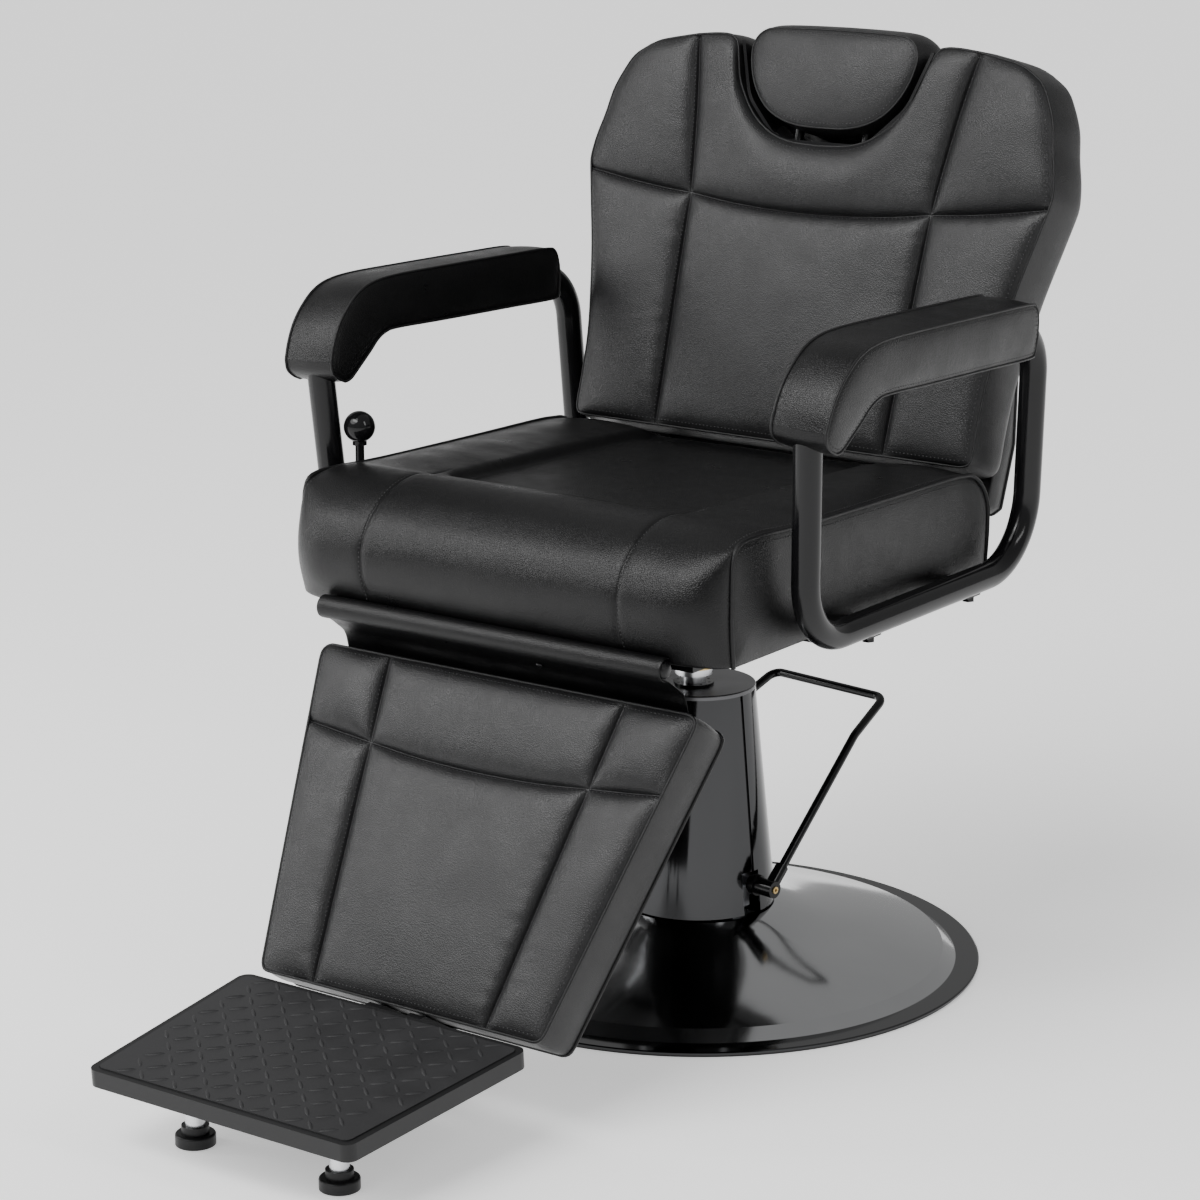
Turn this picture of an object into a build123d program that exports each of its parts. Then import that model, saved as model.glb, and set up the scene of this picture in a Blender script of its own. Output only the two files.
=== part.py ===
from build123d import *
import os
from math import cos, hypot, radians, sin, tan

# Hydraulic barber chair, millimetres. +Z up, front towards -Y, sitter's left towards +X.
# Origin: centre of the base disc, on the floor. The chair is at its lowest height.

# ---- driving dimensions ----
GAP = 0.3              # soft or flat parts that only lie beside each other
RUN = 0.05             # radial running clearance of pins and shafts

BASE_R = 325           # base disc
BASE_STEP_R = 298.5    # where the flat rim ends
DOME_R = 284           # where the dome starts
BASE_YAW = -8          # base and pump lever are turned a little under the seat

COLUMN_Y = 4           # axis of the column cover
DISH_TOP = 69          # flat centre of the dish, under the pump
COLUMN_Z0, COLUMN_Z1 = 69.3, 322.4
COLUMN_R0, COLUMN_R1 = 89.5, 64.2
SHELL = 2.2

LIFT_Y = -4.5          # axis of the ram, on which the chair lifts and swivels
RAM_R = 14
RAM_TOP = 420
CYL_R, CYL_BORE = 24, 18

PUMP_Z = 104           # pump lever pivot height
LEVER_ROD_R = 5

SEAT_HALF = 272
SEAT_Z0 = 470
RAIL_Z0, RAIL_Z1 = 433, 458

ARM_X, ARM_Z, ARM_LEAN = 309.5, 600, 3.0   # armrest plane passes here and leans out
ARM_TUBE_R = 15
ARM_PAD_HALF = 34

BACK_Y, BACK_Z, BACK_TILT = 137, 574, 17.5  # lower front edge of the backrest, lean
BACK_CUSHION = 44      # cushion thickness
BACK_BOARD = 10
BACK_TOTAL = 62
RECLINE_Y, RECLINE_Z = 185, 468
RECLINE_DEG = 35

CALF_Y, CALF_Z, CALF_TILT = -355, 407, 31.46   # upper front edge of the calf pad, lean
CALF_LENGTH, CALF_TOP_HALF, CALF_LOW_HALF = 356, 247, 183
CALF_CUSHION, CALF_BOARD = 44, 12
FOOT_Y, FOOT_Z = -330, 447                     # footrest pivot
FOOT_RATIO = 1.45                              # footrest turn per backrest turn

LINK_ARM = 58          # link pin below the recline pivot
FOOT_ARM = 40          # link pin below the footrest pivot
LINK_Z = 412
LINK_X = 181
GAS_X = -206
SPRING_PIN_R = 5
FOOT_PIN_R = 4.6       # link pin on the footrest arm
CRADLE_BACK = 67.5     # depth of the headrest cradle's back wall
EYE_BORE_R = 10        # open pivots of the linkage, with room for the arcs

PLATE_Y, PLATE_Z = -563, 106   # rear top edge of the footplate
PLATE_DEPTH, PLATE_REAR_HALF, PLATE_FRONT_HALF = 258, 185, 167
PLATE_SLOPE = 4.2
PLATE_THICK = 18
FOLD_Y, FOLD_Z = -556, 95      # footplate fold pin
FOOT_X, FOOT_PAD_Y = 93, -746
FOOT_ROD_R = 10

KNOB_X, KNOB_Y, KNOB_Z, KNOB_R = -280.8, -245, 622, 17.5
LEVER_Z = 440
CAM_EYE_R = 4.7        # release rod eye, open for the arc of the cam pin

parts = {}


# ---- small helpers ----
def box(x, y, z):
    """Box from three (low, high) pairs."""
    size = [hi - lo for lo, hi in (x, y, z)]
    mid = [(hi + lo) / 2 for lo, hi in (x, y, z)]
    return Pos(*mid) * Box(*size)


def rod(start, end, radius):
    start, end = Vector(*start), Vector(*end)
    plane = Plane(origin=start, z_dir=end - start)
    return plane * Cylinder(radius, (end - start).length, align=(Align.CENTER, Align.CENTER, Align.MIN))


def post(x, y, z0, z1, radius):
    return rod((x, y, z0), (x, y, z1), radius)


def ring(x, y, z0, z1, outer, inner):
    return post(x, y, z0, z1, outer) - post(x, y, z0 - 1, z1 + 1, inner)


def pin_x(x0, x1, y, z, radius):
    return rod((x0, y, z), (x1, y, z), radius)


def outline(corners):
    """Face from (x, y, corner radius) triples."""
    points = [(a, b) for a, b, _ in corners]
    wire = FilletPolyline(*points, radius=[r for _, _, r in corners], close=True)
    return make_face(wire)


def prism_x(corners, x0, x1):
    """Side profile of (y, z, corner radius) triples, extruded along X."""
    return Pos(x0, 0, 0) * extrude(Plane.YZ * outline(corners), amount=x1 - x0)


def slab(plane, corners, near, far):
    """Slab between two depths behind a plane that faces the sitter."""
    return extrude(plane.offset(-near) * outline(corners), amount=-(far - near))


def strap(points, radius, x0, x1):
    """Flat bar with round ends through (y, z) points, extruded along X."""
    bar = None
    for (y0, z0), (y1, z1) in zip(points, points[1:]):
        length = hypot(y1 - y0, z1 - z0)
        along = Plane(origin=(x0, (y0 + y1) / 2, (z0 + z1) / 2), x_dir=(0, y1 - y0, z1 - z0), z_dir=(1, 0, 0))
        piece = along * extrude(Rectangle(length, 2 * radius), amount=x1 - x0)
        bar = piece if bar is None else bar + piece
    for y, z in points:
        bar += pin_x(x0, x1, y, z, radius)
    return bar


def mirrored(half):
    return half + [(-x, y, r) for x, y, r in reversed(half)]


def leaning_plane(y, z, tilt):
    """Plane with +X across, +Y up the leaning face, facing the sitter."""
    lean = radians(tilt)
    return Plane(origin=(0, y, z), x_dir=(1, 0, 0), z_dir=(0, -cos(lean), sin(lean)))


BACK = leaning_plane(BACK_Y, BACK_Z, BACK_TILT)
CALF = leaning_plane(CALF_Y, CALF_Z, CALF_TILT)
PLATE = Plane(origin=(0, PLATE_Y, PLATE_Z), x_dir=(1, 0, 0), z_dir=(0, -sin(radians(PLATE_SLOPE)),
              cos(radians(PLATE_SLOPE))))


def at(plane, x, up, depth):
    """Point on a leaning plane: across, up the face, depth behind it."""
    return plane.from_local_coords((x, up, -depth))


def both_sides(make):
    return Compound([make(side) for side in (-1, 1)])


def yawed(shape):
    return Rot(0, 0, BASE_YAW) * shape


def hex_bolt(x, y, z, down, length, radius, head):
    """Hex bolt: head side at z, shank pointing up or down."""
    head_height = 0.65 * 2 * radius
    sign = -1 if down else 1
    head_solid = extrude(RegularPolygon(head, 6), amount=head_height)
    head_solid = Pos(x, y, z if down else z - head_height) * head_solid
    return head_solid + rod((x, y, z), (x, y, z + sign * length), radius)


# ---- base ----
def base_dish():
    top = [(BASE_R, 3), (BASE_R, 5.2), (BASE_R - 1.6, 6.3), (BASE_STEP_R, 6.3), (DOME_R, 17.5)]
    dome = [(DOME_R, 17.5), (200, 38), (130, 55.5), (95, 66), (78, 68.6), (66, DISH_TOP)]
    sheet = 4.2
    under = [(x, z - sheet) for x, z in reversed(dome)]
    edges = [Polyline(*top), Spline(*dome), Polyline(dome[-1], (30, DISH_TOP), (30, DISH_TOP - sheet), under[0]),
             Spline(*under), Polyline(under[-1], (BASE_STEP_R - 8, 3), top[0])]
    profile = Plane.XZ * make_face(Wire([edge for line in edges for edge in line.edges()]))
    dish = revolve(profile, Axis.Z)
    for angle in range(45, 360, 90):
        dish -= Rot(0, 0, angle) * post(50, 0, 60, 80, 4.2)
    return yawed(dish)


def pump_flange():
    flange = post(0, 0, DISH_TOP + 0.2, 80, 62) + post(0, LIFT_Y, 80, 94, 31)
    flange += box((-16, 16), (26, 60), (DISH_TOP + 0.2, 92))
    flange -= post(0, 46, 60, 100, 5 + RUN)
    for angle in range(45, 360, 90):
        flange -= Rot(0, 0, angle) * post(50, 0, 60, 90, 4.2)
    for side in (-1, 1):
        flange += box(sorted((side * 66, side * 72)), (-13, 13), (DISH_TOP + 3, PUMP_Z + 14))
        flange += box(sorted((side * 52, side * 70)), (-13, 13), (DISH_TOP + 3, 80))
        flange -= pin_x(side * 60, side * 80, 0, PUMP_Z, 6 + RUN)
    return yawed(flange) - post(0, LIFT_Y, 60, 130, CYL_R + RUN)


def flange_bolts():
    return Compound([Rot(0, 0, a) * hex_bolt(50, 0, 80, True, 22, 4, 7) for a in range(45, 360, 90)])


def column_radius(z):
    return COLUMN_R0 + (COLUMN_R1 - COLUMN_R0) * (z - COLUMN_Z0) / (COLUMN_Z1 - COLUMN_Z0)


def cone_shell(z0, z1, inset, thickness):
    def cone(shrink, low, high):
        r0, r1 = column_radius(low) - shrink, column_radius(high) - shrink
        solid = Cone(r0, r1, high - low, align=(Align.CENTER, Align.CENTER, Align.MIN))
        return Pos(0, COLUMN_Y, low) * solid
    return cone(inset, z0, z1) - cone(inset + thickness, z0 - 1, z1 + 1)


COVER_TOP = COLUMN_Z1 - 5
SLIT = 2


def column_cover(front):
    shell = cone_shell(COLUMN_Z0, COVER_TOP, 0, SHELL)
    reach = (-100, COLUMN_Y - SLIT) if front else (COLUMN_Y + SLIT, 110)
    half = shell & box((-100, 100), reach, (60, 330))
    for side in (-1, 1):
        half -= box(sorted((side * 60, side * 100)), (-13, 13), (60, PUMP_Z + 13))
    return yawed(half)


def cover_strips():
    shell = cone_shell(PUMP_Z + 16, COVER_TOP - 7, SHELL + 0.1, 1.4)
    return yawed(both_sides(lambda s: shell & box(sorted((s * 40, s * 100)), (COLUMN_Y - 9, COLUMN_Y + 9), (60, 330))))


def column_cap():
    cap = post(0, COLUMN_Y, COVER_TOP, COLUMN_Z1, COLUMN_R1 + 0.6)
    cap = fillet(cap.edges().group_by(Axis.Z)[-1], 1.4)
    cap += ring(0, COLUMN_Y, COVER_TOP - 6, COVER_TOP, 61.4, 57)
    return yawed(cap) - post(0, LIFT_Y, 300, 330, 20.1)


def gland_nut():
    nut = post(0, LIFT_Y, 312.2, COLUMN_Z1, 19.9) + post(0, LIFT_Y, COLUMN_Z1, COLUMN_Z1 + 2.6, 23)
    nut -= post(0, LIFT_Y, 300, 340, RAM_R + RUN)
    for k in range(8):
        nut -= Pos(0, LIFT_Y, 0) * Rot(0, 0, 45 * k + 15) * post(18.6, 0, COLUMN_Z1, 330, 1.6)
    return nut


def hydraulic_cylinder():
    return post(0, LIFT_Y, 10, 312, CYL_R) - post(0, LIFT_Y, 18, 330, CYL_BORE)


def rod_guide():
    return ring(0, LIFT_Y, 276, 311.8, CYL_BORE - 0.02, RAM_R + RUN)


# ---- pump lever ----
def pump_lever():
    """U-shaped foot lever of bent rod, welded to a sleeve at each end."""
    path = [(114, 0, PUMP_Z), (92, 170, 242), (83.5, 233, 272)]
    path = path + [(-x, y, z) for x, y, z in reversed(path)]
    line = FilletPolyline(*path, radius=[30, 14, 14, 30])
    start = Plane(origin=line @ 0, z_dir=line % 0)
    lever = sweep(start * Circle(LEVER_ROD_R), path=line)
    for side in (-1, 1):
        lever += pin_x(side * 86, side * 121, 0, PUMP_Z, 9.6)
        lever += pin_x(side * 90, side * 97, 0, PUMP_Z, 12)
        lever += rod((side * 113, 2, PUMP_Z + 1.6), (side * 110.2, 24, PUMP_Z + 19.4), 7.5)
    for side in (-1, 1):
        lever -= pin_x(side * 70, side * 118, 0, PUMP_Z, 6)
        lever -= pin_x(side * 117, side * 124, 0, PUMP_Z, 4.05)
    return lever


def pump_rocker():
    """Cross shaft in two stubs, joined by a yoke that passes behind the cylinder."""
    yoke = None
    for side in (-1, 1):
        stub = pin_x(side * 44, side * 117, 0, PUMP_Z, 6)
        arm = box(sorted((side * 44, side * 54)), (-9, 52), (PUMP_Z - 9, PUMP_Z + 9))
        yoke = stub + arm if yoke is None else yoke + stub + arm
    yoke += box((-54, 54), (40, 52), (PUMP_Z + 12, PUMP_Z + 24))
    for side in (-1, 1):
        yoke += box(sorted((side * 44, side * 54)), (30, 52), (PUMP_Z, PUMP_Z + 24))
    return yoke


def hub_bushes():
    return both_sides(lambda s: pin_x(s * 118.2, s * 122.4, 0, PUMP_Z, 4)
                      - pin_x(s * 120, s * 124, 0, PUMP_Z, 1.8))


def pump_plunger():
    return post(0, 46, 84, PUMP_Z + 11, 3) + post(0, 46, 84, 111, 5) + post(0, 46, 108, 111, 8)


def pump_spring():
    coil = Helix(pitch=3, height=14, radius=6.6)
    section = Plane(origin=coil @ 0, z_dir=coil % 0) * Circle(0.8)
    return Pos(0, 46, 93) * sweep(section, path=coil, is_frenet=True)


# ---- ram ----
def ram():
    return post(0, LIFT_Y, 26, RAM_TOP, RAM_R) + post(0, LIFT_Y, 334, 342, 21)


def ram_ring(z0, z1, outer):
    return ring(0, LIFT_Y, z0, z1, outer, RAM_R)


# ---- seat frame ----
def swivel_socket():
    hub = post(0, LIFT_Y, 346.6, 427, 26) + box((-105, 105), (-110, 100), (427, RAIL_Z0))
    for angle in (0, 90):
        hub += Pos(0, LIFT_Y, 0) * Rot(0, 0, angle) * box((-70, 70), (-3, 3), (398, 427))
    hub -= post(0, LIFT_Y, 340, RAM_TOP + 1, RAM_R + RUN)
    for x, y in SOCKET_BOLTS:
        hub -= post(x, y, 420, 440, 4.2)
    return hub


SOCKET_BOLTS = [(x, y) for x in (-90, 90) for y in (-90, 80)]
ARM_BRACKET_Y = (-118, 90)
ARM_BRACKET_Z = 447    # underside of the armrest brackets
REAR_RAIL_Y = 130


def arm_local(shape):
    """Right armrest: from its own upright plane to its leaning place."""
    return Pos(ARM_X, 0, ARM_Z) * Rot(0, ARM_LEAN, 0) * Pos(0, 0, -ARM_Z) * shape


def arm_bar_x(z):
    return ARM_X + (z - ARM_Z) * tan(radians(ARM_LEAN))


def arm_side(shape, side):
    shape = arm_local(shape)
    return shape if side > 0 else mirror(shape, Plane.YZ)


def seat_subframe():
    frame = None
    for x in (-90, 90):
        rail = box((x - 20, x + 20), (-302, 142), (RAIL_Z0, RAIL_Z1))
        frame = rail if frame is None else frame + rail
    for y in (-290, *ARM_BRACKET_Y, REAR_RAIL_Y):
        half = 262 if y in ARM_BRACKET_Y else 200
        frame += box((-half, half), (y - 12, y + 12), (RAIL_Z0, RAIL_Z1))
    for x, y in SOCKET_BOLTS:
        frame -= post(x, y, 430, 446, 4.2)
    for side in (-1, 1):
        for y in ARM_BRACKET_Y:
            bracket = box(sorted((side * 262, side * 303)), (y - 14, y + 14), (ARM_BRACKET_Z, 462))
            bracket -= rod((side * arm_bar_x(465), y - 20, 465), (side * arm_bar_x(465), y + 20, 465),
                           ARM_TUBE_R + RUN)
            frame += bracket
            frame -= post(side * 296, y, 430, 460, 4.2)
        ear_x = sorted((side * 163, side * 169))
        ear = prism_x([(118, 433, 0), (196, 433, 8), (205, 442, 8), (205, 484, 12), (167, 484, 6),
                       (167, 458, 0), (118, 458, 0)], *ear_x)
        front = prism_x([(-346, 431, 10), (-302, 431, 0), (-302, 457, 0), (-346, 457, 8)], *ear_x)
        frame += ear + front
        frame -= pin_x(side * 160, side * 172, RECLINE_Y, RECLINE_Z, 6 + RUN)
        frame -= pin_x(side * 160, side * 172, FOOT_Y, FOOT_Z, 6)
    frame += box((-244, -226), (-262, -228), (428, RAIL_Z1)) + box((-244, -226), (-300, -228), (446, RAIL_Z1))
    frame -= pin_x(-250, -220, KNOB_Y, LEVER_Z, 6 + RUN)
    frame += box((-244, -180), (-302, -278), (446, RAIL_Z1))
    frame += box((-219, -193), (-138, -114), (398, RAIL_Z0))
    return frame - rod((-204, -150, LINK_Z), (-204, -100, LINK_Z), 2 + RUN)


def frame_bolts():
    """Bolts of the swivel socket and of the armrests."""
    spots = [(x, y, 427) for x, y in SOCKET_BOLTS]
    spots += [(side * 296, y, ARM_BRACKET_Z) for side in (-1, 1) for y in ARM_BRACKET_Y]
    return Compound([hex_bolt(x, y, z, False, 14, 4, 7) for x, y, z in spots])


def seat_board():
    return slab(Plane.XY.offset(SEAT_Z0 - GAP), mirrored([(262, -366, 20), (262, 150, 20)]), 0, 11.4)


def seat_cushion():
    side = [(-376, SEAT_Z0, 8), (-392, 522, 50), (-374, 588, 40), (-290, 588, 60), (108, 577, 60),
            (165, 573, 46), (165, SEAT_Z0 + 2, 8)]
    return prism_x(side, -SEAT_HALF, SEAT_HALF)


ARM_LOOP = [(-271.1, 700), (-252, 465), (200, 465), (186, 736), (20, 736)]


def arm_tube():
    path = FilletPolyline(*[(0, y, z) for y, z in ARM_LOOP], radius=[74, 78, 58])
    start = Plane(origin=path @ 0, z_dir=path % 0)
    tube = sweep(start * Circle(ARM_TUBE_R), path=path) - sweep(start * Circle(ARM_TUBE_R - 2), path=path)
    return tube


def arm_bore():
    path = FilletPolyline(*[(0, y, z) for y, z in ARM_LOOP], radius=[74, 78, 58])
    start = Plane(origin=path @ 0, z_dir=path % 0)
    ends = rod((0, -271.1, 700), (0, -271.2, 701.2), ARM_TUBE_R + GAP) + rod((0, 20, 736), (0, 18, 736),
                                                                       ARM_TUBE_R + GAP)
    return sweep(start * Circle(ARM_TUBE_R + GAP), path=path) + ends


def arm_pad():
    profile = [(128, 713, 8), (128, 774, 17), (-232, 775, 60), (-294, 722, 36), (-290, 688, 8),
               (-262, 673, 5), (-208, 716, 24)]
    return prism_x(profile, -ARM_PAD_HALF, ARM_PAD_HALF) - arm_bore()


def arm_tube_side(side):
    tube = arm_side(arm_tube(), side)
    for y in ARM_BRACKET_Y:
        tube -= post(side * 296, y, 440, 462, 4.2)
    return tube


# ---- recline lever and gas spring ----
def lever_shaft():
    shaft = pin_x(-288, -196, KNOB_Y, LEVER_Z, 6)
    cam = strap([(KNOB_Y, LEVER_Z), (KNOB_Y, LINK_Z)], 8, -214, -208)
    pin = pin_x(-208, -198, KNOB_Y, LINK_Z, 2.5)
    return shaft + cam + pin


def lever_rod():
    bar = post(KNOB_X, KNOB_Y, LEVER_Z + 6, KNOB_Z - 12, 5)
    hub = pin_x(KNOB_X - 5, KNOB_X + 5, KNOB_Y, LEVER_Z, 10)
    return bar + hub - pin_x(-300, -260, KNOB_Y, LEVER_Z, 6)


def lever_knob():
    ball = Pos(KNOB_X, KNOB_Y, KNOB_Z) * Sphere(KNOB_R)
    neck = post(KNOB_X, KNOB_Y, KNOB_Z - 20, KNOB_Z - 14, 8)
    return ball + neck - post(KNOB_X, KNOB_Y, KNOB_Z - 30, KNOB_Z - 12, 5)


def release_rod():
    eye = pin_x(-206, -202, KNOB_Y, LINK_Z, 8.5)
    stem = rod((-204, KNOB_Y + 6, LINK_Z), (-204, -104, LINK_Z), 2)
    return eye + stem - pin_x(-210, -198, KNOB_Y, LINK_Z, CAM_EYE_R)


def gas_cylinder():
    tube = rod((GAS_X, -114, LINK_Z), (GAS_X, 72, LINK_Z), 11)
    tube -= rod((GAS_X, -90, LINK_Z), (GAS_X, 66, LINK_Z), 9)
    tube -= rod((GAS_X, 60, LINK_Z), (GAS_X, 80, LINK_Z), 4 + RUN)
    return tube - rod((-204, -120, LINK_Z), (-204, -95, LINK_Z), 2 + RUN)


HALF_SWING = radians(RECLINE_DEG / 2)
LINK_Y1 = RECLINE_Y + LINK_ARM * sin(HALF_SWING)
LINK_PIN_Z1 = RECLINE_Z - LINK_ARM * cos(HALF_SWING)
LINK_Y0 = FOOT_Y + FOOT_ARM * sin(HALF_SWING * FOOT_RATIO)
LINK_PIN_Z0 = FOOT_Z - FOOT_ARM * cos(HALF_SWING * FOOT_RATIO)


def gas_rod():
    stem = rod((GAS_X, 0, LINK_Z), (GAS_X, LINK_Y1 - 12, LINK_Z), 4)
    piston = rod((GAS_X, -6, LINK_Z), (GAS_X, 4, LINK_Z), 9 - RUN)
    eye = pin_x(GAS_X - 6, GAS_X + 6, LINK_Y1, LINK_Z, 14)
    return stem + piston + eye - pin_x(GAS_X - 9, GAS_X + 9, LINK_Y1, LINK_Z, EYE_BORE_R)


def link_bar():
    """Bar from the backrest's lever to the footrest's lever, on the gas spring's side."""
    x0, x1 = -LINK_X - 3, 3 - LINK_X
    bar = strap([(LINK_Y0, LINK_Z), (LINK_Y1, LINK_Z)], 8, x0, x1)
    for y in (LINK_Y0, LINK_Y1):
        bar += pin_x(x0, x1, y, LINK_Z, 14)
    for y in (LINK_Y0, LINK_Y1):
        bar -= pin_x(x0 - 1, x1 + 1, y, LINK_Z, EYE_BORE_R)
    return bar


# ---- backrest ----
BACK_LOW = 6           # cushion starts this far up the face, clear of the seat
BACK_OUTLINE = mirrored([(267, BACK_LOW, 16), (270, 112, 200), (311, 305, 55), (284, 420, 60), (244, 456, 60),
                         (131, 464, 12), (108, 392, 60), (60, 343, 46)])
GUIDE_X, GUIDE_DEPTH = 45, 28


def inset_outline(gap):
    """Backrest outline, a few millimetres inside its edge, with a simple U notch."""
    return mirrored([(267 - gap, BACK_LOW + gap, 16), (270 - gap, 112, 200), (311 - gap, 305, 55),
                     (284 - gap, 420, 60), (244 - gap, 456 - gap, 60), (131 + gap, 463 - gap, 12),
                     (108 + gap, 392, 60), (60, 343 - gap, 46)])


def back_rod(x, depth, low, high, radius):
    return rod(at(BACK, x, low, depth), at(BACK, x, high, depth), radius)


def back_cushion():
    cushion = slab(BACK, BACK_OUTLINE, 0, BACK_CUSHION)
    for side in (-1, 1):
        cushion -= back_rod(side * GUIDE_X, GUIDE_DEPTH, 228, 350, 8 + GAP)
    return cushion


def back_board():
    return slab(BACK, inset_outline(8), BACK_CUSHION + GAP, BACK_CUSHION + GAP + BACK_BOARD)


def back_rear_panel():
    return slab(BACK, BACK_OUTLINE, BACK_CUSHION + BACK_BOARD + 2 * GAP, BACK_TOTAL)


def guide_tubes():
    return both_sides(lambda s: back_rod(s * GUIDE_X, GUIDE_DEPTH, 230, 346, 8)
                      - back_rod(s * GUIDE_X, GUIDE_DEPTH, 220, 350, 6 + RUN))


def headrest_cradle():
    """Glossy tray that lines the headrest notch and closes its back."""
    outer = [(128.6, 458, 0), (107.4, 392.4, 59.4), (59.7, 343.6, 45.6)]
    inner = [(124.6, 458, 0), (103.8, 394, 57), (58, 347.6, 43)]
    shell = slab(BACK, mirrored(outer), 3, CRADLE_BACK + 3) - slab(BACK, mirrored(
        [(128.4, 470, 0)] + inner[1:]), 0, CRADLE_BACK)
    for side in (-1, 1):
        shell -= back_rod(side * GUIDE_X, GUIDE_DEPTH, 340, 352, 8 + GAP)
    return shell


def back_frame():
    """Steel plate behind the back panel, with ears that reach down to the recline pivot."""
    depth = BACK_TOTAL + GAP
    frame = slab(BACK, mirrored([(240, 2, 6), (240, 120, 6)]), depth, depth + 4)
    pivot = (RECLINE_Y, RECLINE_Z)
    link_pin = (LINK_Y1, LINK_PIN_Z1)
    for side in (-1, 1):
        x0, x1 = sorted((side * 170, side * 176))
        root = [(p.Y, p.Z) for p in (at(BACK, 0, up, depth + 12) for up in (12, 100))]
        lever = [link_pin] if side < 0 else []
        frame += strap([*lever, pivot, *root], 12, x0, x1)
        frame -= pin_x(x0 - 1, x1 + 1, *pivot, 6 + RUN)
    frame += pin_x(-216, -170, *link_pin, SPRING_PIN_R)
    return frame


def recline_pins():
    return both_sides(lambda s: pin_x(s * 160, s * 180, RECLINE_Y, RECLINE_Z, 6)
                      + pin_x(s * 157, s * 160, RECLINE_Y, RECLINE_Z, 10))


def rear_lower_pad():
    """Padded cover over the recline ears, below and behind the backrest."""
    near = BACK_TOTAL + GAP + 4 + GAP
    corners = [(-40, near, 8), (-40, 103, 20), (44, 101, 60), (132, 80, 12), (132, near, 2)]
    side_view = [(p.Y, p.Z, r) for p, r in ((at(BACK, 0, up, depth), r) for up, depth, r in corners)]
    pad = prism_x(side_view, -262, 262)
    for side in (-1, 1):
        x0, x1 = sorted((side * 169.6, side * 176.4))
        root = [(p.Y, p.Z) for p in (at(BACK, 0, up, BACK_TOTAL + GAP + 12) for up in (12, 100))]
        pad -= strap([(LINK_Y1, LINK_PIN_Z1), (RECLINE_Y, RECLINE_Z), *root], 12.6, x0, x1)
        pad -= pin_x(*sorted((side * 156, side * 182)), RECLINE_Y, RECLINE_Z, 14)
        pad -= prism_x([(150, 420, 0), (207, 420, 0), (207, 490, 0), (150, 490, 0)],
                       *sorted((side * 162, side * 170)))
    return pad


# ---- headrest ----
def headrest_cushion():
    corners = [(60, 363, 60), (104, 388, 50), (113, 440, 40), (98, 476, 26)]
    pad = slab(BACK, mirrored(corners), 1, 66)
    for side in (-1, 1):
        pad -= back_rod(side * GUIDE_X, GUIDE_DEPTH, 355, 440, 6 + RUN)
    return pad


def headrest_posts():
    return both_sides(lambda s: back_rod(s * GUIDE_X, GUIDE_DEPTH, 248, 438, 6))


# ---- footrest ----
def calf_outline(gap):
    return mirrored([(CALF_TOP_HALF - gap, -gap, 14), (CALF_LOW_HALF - gap, gap - CALF_LENGTH, 14)])


def calf_pad():
    return slab(CALF, calf_outline(0), 0, CALF_CUSHION)


def calf_board():
    return slab(CALF, calf_outline(5), CALF_CUSHION + GAP, CALF_CUSHION + GAP + CALF_BOARD)


def footrest_arm(side):
    x0, x1 = sorted((side * 170, side * 176))
    pivot, pin = (FOOT_Y, FOOT_Z), (LINK_Y0, LINK_PIN_Z0)
    back = [(p.Y, p.Z) for p in (at(CALF, 0, up, 66.4) for up in (14, -230))]
    lever = [pin] if side < 0 else []
    arm = strap([pivot, *lever, *back], 9.6, x0, x1) + pin_x(x0, x1, *pivot, 10.5)
    arm -= pin_x(x0 - 1, x1 + 1, *pivot, 6 + RUN)
    return arm + pin_x(-190, -170, *pin, FOOT_PIN_R) if side < 0 else arm


def footrest_pivot():
    return pin_x(-180, 180, FOOT_Y, FOOT_Z, 6)


def flap_roll():
    return pin_x(-224, 224, -381, 457.5, 10.5)


def leg_flap():
    return strap([(-372.5, 446), (-354.5, 428.5)], 1.5, -222, 222)


def hinge_straps():
    depth = CALF_CUSHION + GAP + CALF_BOARD
    corner = at(CALF, 0, -CALF_LENGTH - 6, depth + 4)
    front = at(CALF, 0, -CALF_LENGTH - 6, 4)
    top = at(CALF, 0, -CALF_LENGTH + 60, depth + 4)
    route = [(p.Y, p.Z) for p in (top, corner, front)] + [(FOLD_Y, FOLD_Z)]

    def one(side):
        x0, x1 = sorted((side * 17, side * 36))
        bar = strap(route, 3, x0, x1) + pin_x(x0, x1, FOLD_Y, FOLD_Z, 7)
        return bar - pin_x(x0 - 1, x1 + 1, FOLD_Y, FOLD_Z, 3.5 + RUN)
    return both_sides(one)


# ---- footplate ----
def plate_outline(gap, corner):
    rear, front = PLATE_REAR_HALF - gap, PLATE_FRONT_HALF - gap
    return mirrored([(rear, -gap, corner), (front, gap - PLATE_DEPTH, corner)])


def plate_slab(gap, corner, top, bottom):
    return extrude(PLATE.offset(-bottom) * outline(plate_outline(gap, corner)), amount=bottom - top)


def footplate_tray():
    tray = plate_slab(0, 12, 0, PLATE_THICK) - plate_slab(7, 8, -1, 2.6)
    tray -= plate_slab(4, 8, 5.6, PLATE_THICK + 1)
    for side in (-1, 1):
        boss = post(side * FOOT_X, FOOT_PAD_Y, 62, 88, 15)
        tray += boss
        tray -= post(side * FOOT_X, FOOT_PAD_Y, 50, 84, FOOT_ROD_R + RUN)
    tray -= box((-38, 38), (-567, -540), (84, PLATE_Z - 4))
    for x0, x1 in ((-44, -38), (-14, 14), (38, 44)):
        tray += strap([(-567, 98), (FOLD_Y, FOLD_Z)], 6, x0, x1)
    return tray - pin_x(-60, 60, FOLD_Y, FOLD_Z, 3.5)


def footplate_tread():
    return plate_slab(7.4, 8, -1.2, 2.4)


def fold_pin():
    return pin_x(-46, 46, FOLD_Y, FOLD_Z, 3.5)


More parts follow.
